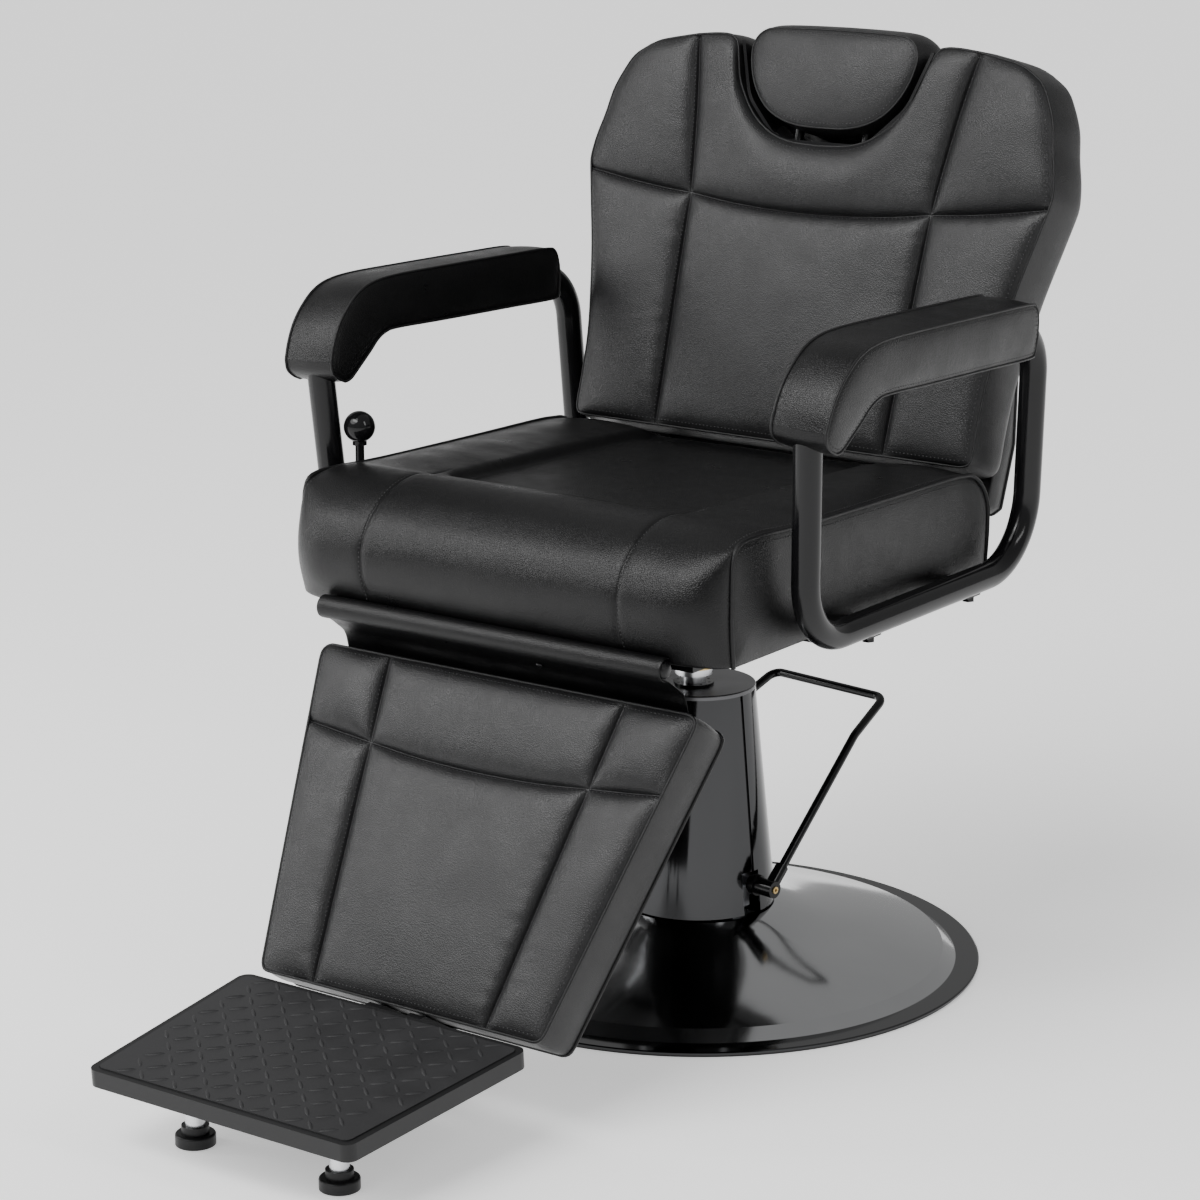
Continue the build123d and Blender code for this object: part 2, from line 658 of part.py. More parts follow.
def foot_rod(side):
    return post(side * FOOT_X, FOOT_PAD_Y, 16, 76, FOOT_ROD_R)


def foot_pad(side):
    x = side * FOOT_X
    base = post(x, FOOT_PAD_Y, 1, 13, 20.5)
    base = fillet(base.edges().group_by(Axis.Z)[-1], 2.5)
    step = post(x, FOOT_PAD_Y, 13, 21, 14)
    return base + step - post(x, FOOT_PAD_Y, 16, 30, FOOT_ROD_R)


# ---- all parts ----
parts["base_floor_ring"] = ring(0, 0, 0, 3, BASE_R - 3, BASE_STEP_R)
parts["base_dish"] = base_dish()
parts["pump_flange"] = pump_flange()
parts["flange_bolts"] = yawed(flange_bolts())
parts["hydraulic_cylinder"] = hydraulic_cylinder()
parts["rod_guide_bush"] = rod_guide()
parts["column_front_cover"] = column_cover(True)
parts["column_rear_cover"] = column_cover(False)
parts["cover_seam_strips"] = cover_strips()
parts["column_cap"] = column_cap()
parts["gland_nut"] = gland_nut()
parts["pump_lever"] = yawed(pump_lever())
parts["pump_rocker"] = yawed(pump_rocker())
parts["hub_bushes"] = yawed(hub_bushes())
parts["pump_plunger"] = yawed(pump_plunger())
parts["pump_spring"] = yawed(pump_spring())
parts["ram"] = ram()
parts["ram_piston"] = ram_ring(26, 46, CYL_BORE - RUN)
parts["ram_seal"] = ram_ring(46.2, 52, CYL_BORE - RUN)
parts["thrust_washer"] = ram_ring(342.2, 346.4, 24)
parts["swivel_socket"] = swivel_socket()
parts["frame_bolts"] = frame_bolts()
parts["seat_subframe"] = seat_subframe()
parts["seat_board"] = seat_board()
parts["seat_cushion"] = seat_cushion()
for name, side in (("right", -1), ("left", 1)):
    parts[f"arm_tube_{name}"] = arm_tube_side(side)
    parts[f"arm_pad_{name}"] = arm_side(arm_pad(), side)
    parts[f"foot_rod_{name}"] = foot_rod(side)
    parts[f"foot_pad_{name}"] = foot_pad(side)
parts["link_bar"] = link_bar()
parts["footrest_arms"] = both_sides(footrest_arm)
parts["recline_lever_shaft"] = lever_shaft()
parts["recline_lever_rod"] = lever_rod()
parts["recline_knob"] = lever_knob()
parts["release_rod"] = release_rod()
parts["gas_spring_cylinder"] = gas_cylinder()
parts["gas_spring_rod"] = gas_rod()
parts["back_cushion"] = back_cushion()
parts["back_board"] = back_board()
parts["back_rear_panel"] = back_rear_panel()
parts["back_frame"] = back_frame()
parts["recline_pins"] = recline_pins()
parts["rear_lower_pad"] = rear_lower_pad()
parts["headrest_cradle"] = headrest_cradle()
parts["headrest_guide_tubes"] = guide_tubes()
parts["headrest_cushion"] = headrest_cushion()
parts["headrest_posts"] = headrest_posts()
parts["flap_roll"] = flap_roll()
parts["leg_flap"] = leg_flap()
parts["footrest_pivot_rod"] = footrest_pivot()
parts["calf_pad"] = calf_pad()
parts["calf_board"] = calf_board()
parts["footplate_hinge_straps"] = hinge_straps()
parts["footplate_tray"] = footplate_tray()
parts["footplate_tread"] = footplate_tread()
parts["fold_pin"] = fold_pin()

os.makedirs("parts", exist_ok=True)
for name, shape in parts.items():
    export_step(shape, f"parts/{name}.step")
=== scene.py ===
from math import cos, exp, hypot, pi, radians, sin, tan

import bpy
import numpy as np
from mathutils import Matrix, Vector, noise
from mathutils.bvhtree import BVHTree


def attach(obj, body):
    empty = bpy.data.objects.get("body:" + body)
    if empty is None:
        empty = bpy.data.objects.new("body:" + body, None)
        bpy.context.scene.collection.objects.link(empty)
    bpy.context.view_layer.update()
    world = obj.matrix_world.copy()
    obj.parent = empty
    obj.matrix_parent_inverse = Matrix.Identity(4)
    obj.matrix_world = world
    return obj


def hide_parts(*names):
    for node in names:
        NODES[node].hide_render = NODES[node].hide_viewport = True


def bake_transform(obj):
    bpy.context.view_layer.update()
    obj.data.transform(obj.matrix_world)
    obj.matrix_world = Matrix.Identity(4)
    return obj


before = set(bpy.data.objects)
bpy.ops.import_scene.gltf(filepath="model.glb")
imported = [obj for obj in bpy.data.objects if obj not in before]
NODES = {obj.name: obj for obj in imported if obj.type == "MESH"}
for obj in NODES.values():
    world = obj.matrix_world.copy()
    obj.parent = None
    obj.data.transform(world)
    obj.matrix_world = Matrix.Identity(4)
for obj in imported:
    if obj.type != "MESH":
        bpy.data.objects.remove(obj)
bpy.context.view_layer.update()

# Hydraulic barber chair: looks. Lengths are in millimetres until they are multiplied by MM.
# Textures, bumps, lights and the camera are in metres.
MM = 0.001

# planes of the leaning parts: (y, z) of their origin and lean from upright, in degrees
BACK = (137, 574, 17.5)
CALF = (-355, 407, 31.46)
PLATE_Y, PLATE_Z, PLATE_SLOPE = -563, 106, 4.2
ARM_X, ARM_Z, ARM_LEAN = 309.5, 600, 3.0


def leaning(plane):
    """Placer for points (x, up the face, depth behind it) on a leaning plane."""
    y0, z0, lean = plane
    s, c = sin(radians(lean)), cos(radians(lean))
    return lambda x, up, depth: Vector((x, y0 + up * s + depth * c, z0 + up * c - depth * s)) * MM


def arm_plane(side):
    """Placer for (y, z, depth from the outer face) of an armrest that leans out."""
    slope = tan(radians(ARM_LEAN))

    def place(y, z, depth):
        out = ARM_X + (z - ARM_Z) * slope + ARM_PAD_HALF - ARM_BACK_ROUND - depth
        return Vector((side * out, y, z - (out - ARM_X) * slope)) * MM
    return place


# ---------------------------------------------------------------- materials
def new_material(name, colour, rough, metal=0.0, **sockets):
    """Plain material, its node tree and shader, and object coordinates for its textures."""
    mat = bpy.data.materials.new(name)
    mat.use_nodes = True
    tree = mat.node_tree
    shader = tree.nodes["Principled BSDF"]
    shader.inputs["Base Color"].default_value = (*colour, 1)
    shader.inputs["Roughness"].default_value = rough
    shader.inputs["Metallic"].default_value = metal
    for key, value in sockets.items():
        shader.inputs[key.replace("_", " ")].default_value = value
    coords = tree.nodes.new("ShaderNodeTexCoord")
    return mat, tree, shader, coords.outputs["Object"]


def texture(tree, coords, kind, scale, **settings):
    """Procedural texture node; a setting is a socket or a property of the node."""
    node = tree.nodes.new("ShaderNodeTex" + kind)
    tree.links.new(coords, node.inputs["Vector"])
    node.inputs["Scale"].default_value = scale
    for key, value in settings.items():
        if key in node.inputs:
            node.inputs[key].default_value = value
        else:
            setattr(node, key, value)
    return node


def spread(tree, source, low, high, out_low, out_high):
    """Maps low to high of a value on to another range."""
    node = tree.nodes.new("ShaderNodeMapRange")
    tree.links.new(source, node.inputs["Value"])
    limits = {"From Min": low, "From Max": high, "To Min": out_low, "To Max": out_high}
    for key, value in limits.items():
        node.inputs[key].default_value = value
    return node.outputs["Result"]


def shade_mix(tree, source, dark, light):
    """Colour that goes from dark to light with a value."""
    node = tree.nodes.new("ShaderNodeMix")
    node.data_type = "RGBA"
    tree.links.new(source, node.inputs["Factor"])
    node.inputs["A"].default_value = (*dark, 1)
    node.inputs["B"].default_value = (*light, 1)
    return node.outputs["Result"]


def tint(tree, shader, source, colour, dark, light):
    """Colour that goes from a dark to a light share of itself with a value."""
    low, high = (tuple(min(1, c * share) for c in colour) for share in (dark, light))
    tree.links.new(shade_mix(tree, source, low, high), shader.inputs["Base Color"])


def polish(tree, shader, source, low, high):
    """Roughness that follows the middle range of a value."""
    tree.links.new(spread(tree, source, 0.3, 0.7, low, high), shader.inputs["Roughness"])


def bump(tree, height, distance, strength, under=None):
    """Bumped normal, laid over another one if there is one under it."""
    node = tree.nodes.new("ShaderNodeBump")
    tree.links.new(height, node.inputs["Height"])
    node.inputs["Distance"].default_value = distance
    node.inputs["Strength"].default_value = strength
    if under:
        tree.links.new(under, node.inputs["Normal"])
    return node.outputs["Normal"]


def leather(name, colour, rough, grain=460, level=0.38):
    """Coated leather: pebbled grain with fine pores, soft creases, uneven polish, and painted shade in the
    grain's valleys.
    """
    mat, tree, shader, coords = new_material(name, colour, rough, Specular_IOR_Level=level)
    creases = texture(tree, coords, "Noise", 28, Detail=5, Roughness=0.6)
    warp = texture(tree, coords, "Noise", 240, Detail=2)
    push = tree.nodes.new("ShaderNodeVectorMath")
    push.operation = "MULTIPLY_ADD"
    tree.links.new(warp.outputs["Color"], push.inputs[0])
    push.inputs[1].default_value = [GRAIN_WARP * MM] * 3
    tree.links.new(coords, push.inputs[2])
    pebbles = texture(tree, push.outputs[0], "Voronoi", grain, feature="DISTANCE_TO_EDGE")
    pores = texture(tree, coords, "Noise", 2600, Detail=2)
    valley = spread(tree, pebbles.outputs["Distance"], 0, 0.26, 0, 1)
    first = bump(tree, creases.outputs["Fac"], 0.004, 0.10)
    second = bump(tree, valley, 0.0005, 0.30, first)
    third = bump(tree, pores.outputs["Fac"], 0.0002, 0.08, second)
    tree.links.new(third, shader.inputs["Normal"])
    polish(tree, shader, creases.outputs["Fac"], rough - 0.06, rough + 0.07)
    # painted shade: the colour is darkened in the valleys between the pebbles of the grain and is a little
    # lighter on their tops
    tint(tree, shader, valley, colour, 0.5, 1.15)
    return mat


def paint(name, colour, rough):
    """Glossy powder coat with faint orange peel and small changes of polish."""
    mat, tree, shader, coords = new_material(name, colour, rough, Specular_IOR_Level=0.3)
    peel = texture(tree, coords, "Noise", 420, Detail=2)
    smear = texture(tree, coords, "Noise", 14, Detail=4)
    tree.links.new(bump(tree, peel.outputs["Fac"], 0.0002, 0.12), shader.inputs["Normal"])
    polish(tree, shader, smear.outputs["Fac"], rough - 0.05, rough + 0.08)
    tint(tree, shader, smear.outputs["Fac"], colour, 0.8, 1.2)
    return mat


def metal(name, colour, rough, brush=0.0):
    """Polished or brushed metal with faint smears."""
    mat, tree, shader, coords = new_material(name, colour, rough, 1.0)
    smear = texture(tree, coords, "Noise", 9, Detail=5)
    fine = texture(tree, coords, "Noise", 900, Detail=3)
    polish(tree, shader, smear.outputs["Fac"], rough * 0.8, rough * 1.35)
    tree.links.new(bump(tree, fine.outputs["Fac"], 0.0001, 0.03 + brush), shader.inputs["Normal"])
    tint(tree, shader, smear.outputs["Fac"], colour, 0.92, 1.06)
    return mat


def darken_beyond(mat, radius, colour):
    """Second, darker finish outside a radius about the upright axis, in millimetres."""
    tree = mat.node_tree
    shader = tree.nodes["Principled BSDF"]
    flat = tree.nodes.new("ShaderNodeVectorMath")
    flat.operation = "MULTIPLY"
    tree.links.new(tree.nodes["Texture Coordinate"].outputs["Object"], flat.inputs[0])
    flat.inputs[1].default_value = (1, 1, 0)
    length = tree.nodes.new("ShaderNodeVectorMath")
    length.operation = "LENGTH"
    tree.links.new(flat.outputs[0], length.inputs[0])
    soft = 0.3
    outside = spread(tree, length.outputs["Value"], (radius - soft) * MM, (radius + soft) * MM, 0, 1)
    mix = tree.nodes.new("ShaderNodeMix")
    mix.data_type = "RGBA"
    tree.links.new(outside, mix.inputs["Factor"])
    tree.links.new(shader.inputs["Base Color"].links[0].from_socket, mix.inputs["A"])
    mix.inputs["B"].default_value = (*colour, 1)
    tree.links.new(mix.outputs["Result"], shader.inputs["Base Color"])


def rubber(name, colour, rough):
    """Speckled rubber or waxed thread with worn patches."""
    mat, tree, shader, coords = new_material(name, colour, rough)
    speckle = texture(tree, coords, "Noise", 1300, Detail=3)
    worn = texture(tree, coords, "Noise", 22, Detail=4)
    tree.links.new(bump(tree, speckle.outputs["Fac"], 0.0003, 0.25), shader.inputs["Normal"])
    polish(tree, shader, worn.outputs["Fac"], rough - 0.08, rough + 0.1)
    tint(tree, shader, worn.outputs["Fac"], colour, 0.8, 1.25)
    return mat


def wood(name, dark, light):
    """Plywood with drawn-out rings."""
    mat, tree, shader, coords = new_material(name, light, 0.6)
    rings = texture(tree, coords, "Wave", 26, Distortion=6, Detail=3)
    tree.links.new(shade_mix(tree, rings.outputs["Fac"], dark, light), shader.inputs["Base Color"])
    tree.links.new(bump(tree, rings.outputs["Fac"], 0.0003, 0.2), shader.inputs["Normal"])
    return mat


GRAIN_WARP = 1.6           # how far the pebbles of the grain are pushed out of shape
DISH_FACE_RADIUS = 298.5   # where the polished face of the base disc meets its darker rim
LEATHER = leather("leather_body", (0.0085, 0.0085, 0.0091), 0.38)
# darker copy of the body leather: painted shade on the seat, the arm pads, the roll under the seat and the
# leg flap
SHADED_LEATHER = leather("leather_shaded", (0.0032, 0.0032, 0.0035), 0.33, level=0.28)
PIPING = leather("leather_piping", (0.006, 0.006, 0.0065), 0.38, grain=900, level=0.3)
THREAD = rubber("thread_black", (0.022, 0.022, 0.023), 0.4)
GLOSS_PAINT = paint("paint_gloss_black", (0.004, 0.004, 0.0045), 0.15)
SATIN_PAINT = paint("paint_satin_black", (0.009, 0.009, 0.0095), 0.34)
GUNMETAL = metal("chrome_gunmetal", (0.05, 0.0505, 0.052), 0.10)
DOME_METAL = metal("chrome_dome", (0.42, 0.424, 0.43), 0.09)
darken_beyond(DOME_METAL, DISH_FACE_RADIUS, (0.06, 0.0605, 0.062))
CAP_METAL = metal("chrome_cap", (0.11, 0.11, 0.114), 0.3)
BRIGHT = metal("chrome_bright", (0.74, 0.75, 0.77), 0.26)
STEEL = metal("steel_plain", (0.42, 0.43, 0.45), 0.36, 0.1)
BRONZE = metal("bronze_bush", (0.60, 0.44, 0.20), 0.28, 0.05)
RUBBER = rubber("rubber_black", (0.014, 0.014, 0.015), 0.55)
TREAD = rubber("rubber_tread", (0.017, 0.017, 0.018), 0.46)
GLOSS_PLASTIC = paint("plastic_gloss_black", (0.006, 0.006, 0.0065), 0.09)
PLYWOOD = wood("plywood", (0.30, 0.19, 0.10), (0.52, 0.37, 0.22))

NODE_MATERIALS = (
    (GUNMETAL, "column_front_cover column_rear_cover"),
    (DOME_METAL, "base_dish"),
    (CAP_METAL, "column_cap"),
    (RUBBER, "base_floor_ring ram_seal cover_seam_strips"),
    (BRIGHT, "ram gas_spring_rod foot_rod_left foot_rod_right fold_pin"),
    (GLOSS_PAINT, "arm_tube_left arm_tube_right recline_lever_rod recline_lever_shaft pump_lever"
                  " headrest_posts frame_bolts"),
    (SATIN_PAINT, "footplate_tray footplate_hinge_straps footrest_arms link_bar seat_subframe back_frame"
                  " swivel_socket gas_spring_cylinder foot_pad_left foot_pad_right"),
    (STEEL, "pump_flange flange_bolts hydraulic_cylinder ram_piston pump_rocker pump_plunger pump_spring"
            " recline_pins footrest_pivot_rod release_rod headrest_guide_tubes"),
    (BRONZE, "rod_guide_bush hub_bushes thrust_washer"),
    (GLOSS_PLASTIC, "recline_knob headrest_cradle gland_nut"),
    (TREAD, "footplate_tread"),
    (PLYWOOD, "seat_board back_board calf_board"),
    (LEATHER, "seat_cushion back_cushion headrest_cushion calf_pad rear_lower_pad back_rear_panel"
              " arm_pad_left arm_pad_right flap_roll leg_flap"),
)


def finish_cad_nodes():
    """Puts the materials on the CAD's own nodes."""
    for material, names in NODE_MATERIALS:
        for name in names.split():
            node = NODES[name]
            if not node.material_slots:
                node.data.materials.append(material)
            for slot in node.material_slots:
                slot.material = material


# ---------------------------------------------------------------- mesh tools
def shade_smooth(mesh):
    mesh.polygons.foreach_set("use_smooth", [True] * len(mesh.polygons))


def add(name, verts, faces, material, body):
    """New object from points in metres, riding on a body if there is one."""
    mesh = bpy.data.meshes.new(name)
    mesh.from_pydata([tuple(v) for v in verts], [], faces)
    mesh.validate()
    mesh.update()
    shade_smooth(mesh)
    mesh.materials.append(material)
    obj = bpy.data.objects.new(name, mesh)
    bpy.context.scene.collection.objects.link(obj)
    if body:
        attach(obj, body)
    return obj


def subdivide(obj):
    """Applies the object's modifiers and one level of subdivision surface."""
    mod = obj.modifiers.new("sub", "SUBSURF")
    mod.levels = mod.render_levels = 1
    graph = bpy.context.evaluated_depsgraph_get()
    mesh = bpy.data.meshes.new_from_object(obj.evaluated_get(graph))
    obj.modifiers.clear()
    obj.data = mesh
    shade_smooth(mesh)


def surface_of(obj):
    """Search tree over an object's faces."""
    mesh = obj.data
    return BVHTree.FromPolygons([v.co.copy() for v in mesh.vertices], [p.vertices[:] for p in mesh.polygons])


def lengths(points):
    """Length run along a polyline up to each of its points."""
    steps = np.linalg.norm(np.diff(np.array(points, float), axis=0), axis=1)
    return np.concatenate([[0], np.cumsum(steps)])


def mirrored(line):
    """Flat line on the other side of the middle."""
    return [(-x, y) for x, y in line]


def points_at(points, part):
    """Points at given shares of a polyline's length."""
    pts, along = np.array(points, float), lengths(points)
    want = part * along[-1]
    return np.stack([np.interp(want, along, pts[:, k]) for k in range(pts.shape[1])], axis=1)


def resample(points, count):
    """Evenly spaced points on a polyline, both ends among them."""
    return points_at(points, np.linspace(0, 1, count + 1))


def shares(count):
    """Shares from 0 to 1, with extra ones close to both ends."""
    even = np.linspace(0, 1, count + 1)
    extra = np.array([0.22, 0.5]) / count
    return np.sort(np.concatenate([even, extra, 1 - extra]))


def smooth_curve(points, steps=12):
    """Catmull-Rom curve through points."""
    p = np.array(points, float)
    p = np.vstack([2 * p[0] - p[1], p, 2 * p[-1] - p[-2]])
    out = []
    for a, b, c, d in zip(p, p[1:], p[2:], p[3:]):
        for t in np.arange(steps) / steps:
            out.append(0.5 * (2 * b + (c - a) * t + (2 * a - 5 * b + 4 * c - d) * t * t
                              + (3 * b - a - 3 * c + d) * t ** 3))
    out.append(p[-2])
    return np.array(out)


def coons(bottom, top, left, right, nx, ny):
    """Grid of points filling four joined edge curves."""
    across, up = shares(nx), shares(ny)
    bottom, top = points_at(bottom, across), points_at(top, across)
    left, right = points_at(left, up), points_at(right, up)
    u, v = across[None, :, None], up[:, None, None]
    ruled = (1 - v) * bottom[None] + v * top[None] + (1 - u) * left[:, None] + u * right[:, None]
    corners = ((1 - u) * (1 - v) * bottom[0] + u * (1 - v) * bottom[-1]
               + (1 - u) * v * top[0] + u * v * top[-1])
    return ruled - corners


def edge_distances(grid):
    """For each grid point, how far it is from the two pairs of sides, in millimetres."""
    across = np.linalg.norm(np.diff(grid, axis=1), axis=2)
    along = np.linalg.norm(np.diff(grid, axis=0), axis=2)
    lu = np.concatenate([np.zeros((grid.shape[0], 1)), np.cumsum(across, axis=1)], axis=1)
    lv = np.concatenate([np.zeros((1, grid.shape[1])), np.cumsum(along, axis=0)], axis=0)
    return lu, lu[:, -1:] - lu, lv, lv[-1:] - lv


SEAM_REACH = 2.6                     # half width of the sewn valley between two panels
PUCKER_REACH, PUCKER_START = 16, 2.5 # gathers beside a seam: how far they run, and where they begin
PUCKER_PITCH, PUCKER_RUN = 9.0, 26.0 # size of the gathers along the seam, and away from it
WAVE, WAVE_DEPTH = 70.0, 0.9         # broad unevenness of the stuffing
PANEL_SEED = 7.3                     # what moves the noise on from one panel to the next


def spot(point):
    """Key under which panels share a point of their edges."""
    return round(point[0], 1), round(point[1], 1)


class Shell:
    """Closed padded form over a flat outline: crowned panels in front, a side wall, and a back.

    crown is a panel's height clear of its edges, shoulder how far from them it takes to rise, and
    dome what the middle adds. seam is the depth of the valleys between panels, pucker that of the
    gathers beside them, and back the swell of the rear face. The side wall has rows rings of
    points. wall(share of the depth, x, y) pushes them outwards, or else they swell by bulge.
    """

    def __init__(self, panels, place, thick, crown, *, seam=3.4, shoulder=9.5, dome=5.0, pucker=0.7,
                 back=3.0, bulge=2.0, rows=7, seed=0.0, wall=None):
        self.place, self.thick = place, thick
        self.points, self.height, self.faces = [], [], []
        index = {}
        for grid in panels:
            ids = np.empty(grid.shape[:2], int)
            for i in range(grid.shape[0]):
                for j in range(grid.shape[1]):
                    key = spot(grid[i, j])
                    if key not in index:
                        index[key] = len(self.points)
                        self.points.append(grid[i, j])
                        self.height.append(0.0)
                    ids[i, j] = index[key]
            for i in range(grid.shape[0] - 1):
                for j in range(grid.shape[1] - 1):
                    quad = (ids[i, j], ids[i, j + 1], ids[i + 1, j + 1], ids[i + 1, j])
                    if len(set(quad)) == 4:
                        self.faces.append(quad)
        self.loop = self.find_loop()
        rim = set(self.loop)
        for number, grid in enumerate(panels):
            self.raise_panel(grid, index, rim, crown, seam, shoulder, dome, pucker,
                             seed + PANEL_SEED * number)
        self.build(back, rows, wall or (lambda share, x, y: bulge * sin(pi * share)))

    def find_loop(self):
        """Outline points in order."""
        edges = {}
        for face in self.faces:
            for a, b in zip(face, face[1:] + face[:1]):
                edges[(a, b)] = edges.get((a, b), 0) + 1
        follow = {a: b for a, b in edges if (b, a) not in edges}
        start = min(follow)
        loop = [start]
        while follow[loop[-1]] != start:
            loop.append(follow[loop[-1]])
        return loop

    def raise_panel(self, grid, index, rim, crown, seam, shoulder, dome, pucker, seed):
        """Sets the heights of a panel's points."""
        left, right, low, high = edge_distances(grid)
        rows, cols = grid.shape[:2]

        def key(i, j):
            return index[spot(grid[i, j])]
        outer = [all(key(i, j) in rim for i, j in side) for side in (
            [(i, 0) for i in range(rows)], [(i, cols - 1) for i in range(rows)],
            [(0, j) for j in range(cols)], [(rows - 1, j) for j in range(cols)])]
        for i in range(rows):
            for j in range(cols):
                d = (left[i, j], right[i, j], low[i, j], high[i, j])
                lift, sunk, crease = crown, 0.0, 0.0
                for side, dist in enumerate(d):
                    lift *= 1 - exp(-dist / shoulder)
                    if not outer[side]:
                        sunk = max(sunk, exp(-dist / SEAM_REACH))
                        run = d[2] if side < 2 else d[0]
                        fade = exp(-dist / PUCKER_REACH) * (1 - exp(-dist / PUCKER_START))
                        crease += fade * noise.noise(
                            Vector((run / PUCKER_PITCH, dist / PUCKER_RUN, seed + side)))
                swell = sin(pi * d[0] / (d[0] + d[1] + 1e-6)) * sin(pi * d[2] / (d[2] + d[3] + 1e-6))
                x, y = grid[i, j]
                broad = noise.noise(Vector((x / WAVE, y / WAVE, seed))) * WAVE_DEPTH * (lift / crown)
                k = key(i, j)
                value = lift + dome * swell - seam * sunk + pucker * 2.0 * crease + broad
                if k in rim:
                    value = 0.0
                elif i in (0, rows - 1) or j in (0, cols - 1):
                    value = -seam
                self.height[k] = value

    def outward(self):
        """Unit outward direction at each outline point, in the flat plane."""
        pts = np.array([self.points[k] for k in self.loop])
        tangent = np.roll(pts, -1, axis=0) - np.roll(pts, 1, axis=0)
        normal = np.stack([tangent[:, 1], -tangent[:, 0]], axis=1)
        return normal / np.linalg.norm(normal, axis=1)[:, None]

    def build(self, back, rows, wall):
        """Front, side wall and back as one closed mesh."""
        place, count = self.place, len(self.points)
        verts = [place(x, y, -h) for (x, y), h in zip(self.points, self.height)]
        faces = [tuple(int(k) for k in reversed(f)) for f in self.faces]
        out = self.outward()
        rims = [self.loop]
        for row in range(1, rows):
            t = row / (rows - 1)
            ring = []
            for k, n in zip(self.loop, out):
                x, y = self.points[k]
                push = wall(t, x, y)
                ring.append(len(verts))
                verts.append(place(x + n[0] * push, y + n[1] * push, self.thick * t))
            rims.append(ring)
        for first, second in zip(rims, rims[1:]):
            for a in range(len(first)):
                b = (a + 1) % len(first)
                faces.append((first[a], first[b], second[b], second[a]))
        inner = {}
        rim = {k: rims[-1][n] for n, k in enumerate(self.loop)}
        top = max(self.height) or 1.0
        for k in range(count):
            if k in rim:
                inner[k] = rim[k]
            else:
                inner[k] = len(verts)
                x, y = self.points[k]
                verts.append(place(x, y, self.thick + back * max(0.0, self.height[k]) / top))
        faces += [tuple(inner[int(k)] for k in f) for f in self.faces]
        self.verts, self.all_faces = verts, faces
        self.front_rim = [verts[k] for k in self.loop]
        self.rear_rim = [verts[k] for k in rims[-1]]

    def make(self, name, material, body, *nodes):
        """The padded piece itself, in place of the CAD's own."""
        obj = add(name, self.verts, self.all_faces, material, body)
        subdivide(obj)
        self.surface = surface_of(obj)
        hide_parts(*nodes)

    def edge_row(self, inset):
        """Places for thread along the outline, some way in from it."""
        return on_surface(self, beside([self.points[k] for k in self.loop], -inset))


def ring_faces(rings, sides, closed=False):
    """Quads between rings of points that follow each other."""
    faces = []
    for k in range(rings if closed else rings - 1):
        here, there = k * sides, (k + 1) % rings * sides
        for s in range(sides):
            t = (s + 1) % sides
            faces.append((here + s, here + t, there + t, there + s))
    return faces


def tube(name, points, radius, body, closed=True):
    """Round sewn cord of constant radius, in millimetres, along points in metres."""
    pts = [Vector(p) for p in points]
    count, sides = len(pts), 8
    verts, side = [], None
    for k, p in enumerate(pts):
        ahead = pts[(k + 1) % count] if closed or k < count - 1 else p
        behind = pts[k - 1] if closed or k else p
        along = (ahead - behind).normalized()
        if side is None:
            side = along.orthogonal().normalized()
        side = (side - along * side.dot(along)).normalized()
        other = along.cross(side)
        for s in range(sides):
            angle = 2 * pi * s / sides
            verts.append(p + (side * cos(angle) + other * sin(angle)) * radius * MM)
    faces = ring_faces(count, sides, closed)
    if not closed:
        faces.append(tuple(reversed(range(sides))))
        faces.append(tuple(range((count - 1) * sides, count * sides)))
    add(name, verts, faces, PIPING, body)


def piping(name, rim, body, radius, count=420):
    """Sewn cord along a closed rim."""
    loop = [tuple(p) for p in rim]
    tube(name, resample(loop + loop[:1], count)[:-1], radius, body)


# thread: a stitch's corners as shares of its half length, width and width, and the stitches' spacing
STITCH_CORNERS = ((-1, 0, -0.4), (0, -1, 0.1), (0, 0, 0.9), (0, 1, 0.1), (0, 0, -0.6), (1, 0, -0.4))
STITCH_FACES = ((0, 2, 1), (0, 3, 2), (0, 4, 3), (0, 1, 4), (5, 1, 2), (5, 2, 3), (5, 3, 4), (5, 4, 1))
STITCH_PITCH, STITCH_LENGTH, STITCH_WIDTH = 5.0 * MM, 3.4 * MM, 0.8 * MM
SEAM_THREAD = 2.6      # thread's distance from a seam


def stitches(name, rows, body):
    """Rows of thread; each row is a list of (point, normal) pairs in metres."""
    verts, faces = [], []
    for row in rows:
        pts = np.array([tuple(p) for p, _ in row])
        normals = [n for _, n in row]
        along = lengths(pts)
        for at in np.arange(STITCH_PITCH / 2, along[-1], STITCH_PITCH):
            k = min(int(np.searchsorted(along, at)), len(pts) - 1)
            t = (at - along[k - 1]) / max(along[k] - along[k - 1], 1e-9)
            centre = Vector(pts[k - 1] + (pts[k] - pts[k - 1]) * t)
            run = Vector(pts[k] - pts[k - 1]).normalized()
            up = normals[k]
            across = run.cross(up).normalized()
            first = len(verts)
            for a, b, c in STITCH_CORNERS:
                verts.append(centre + run * a * STITCH_LENGTH / 2 + (across * b + up * c) * STITCH_WIDTH)
            faces += [tuple(first + n for n in face) for face in STITCH_FACES]
    add(name, verts, faces, THREAD, body)


def on_surface(shell, line):
    """Points and normals where a flat line lands on the front of a shell."""
    reach, pitch = 60, 3.0
    length = lengths(line)[-1]
    row = []
    for x, y in resample(line, max(2, int(length / pitch))):
        start, end = shell.place(x, y, -reach), shell.place(x, y, reach)
        hit, normal, _, _ = shell.surface.ray_cast(start, (end - start).normalized())
        if hit:
            row.append((hit, normal if normal.dot(start - hit) > 0 else -normal))
    return row


def beside(line, offset):
    """Line shifted sideways in its plane."""
    pts = np.array(line, float)
    tangent = np.gradient(pts, axis=0)
    normal = np.stack([tangent[:, 1], -tangent[:, 0]], axis=1)
    return pts + normal / np.linalg.norm(normal, axis=1)[:, None] * offset


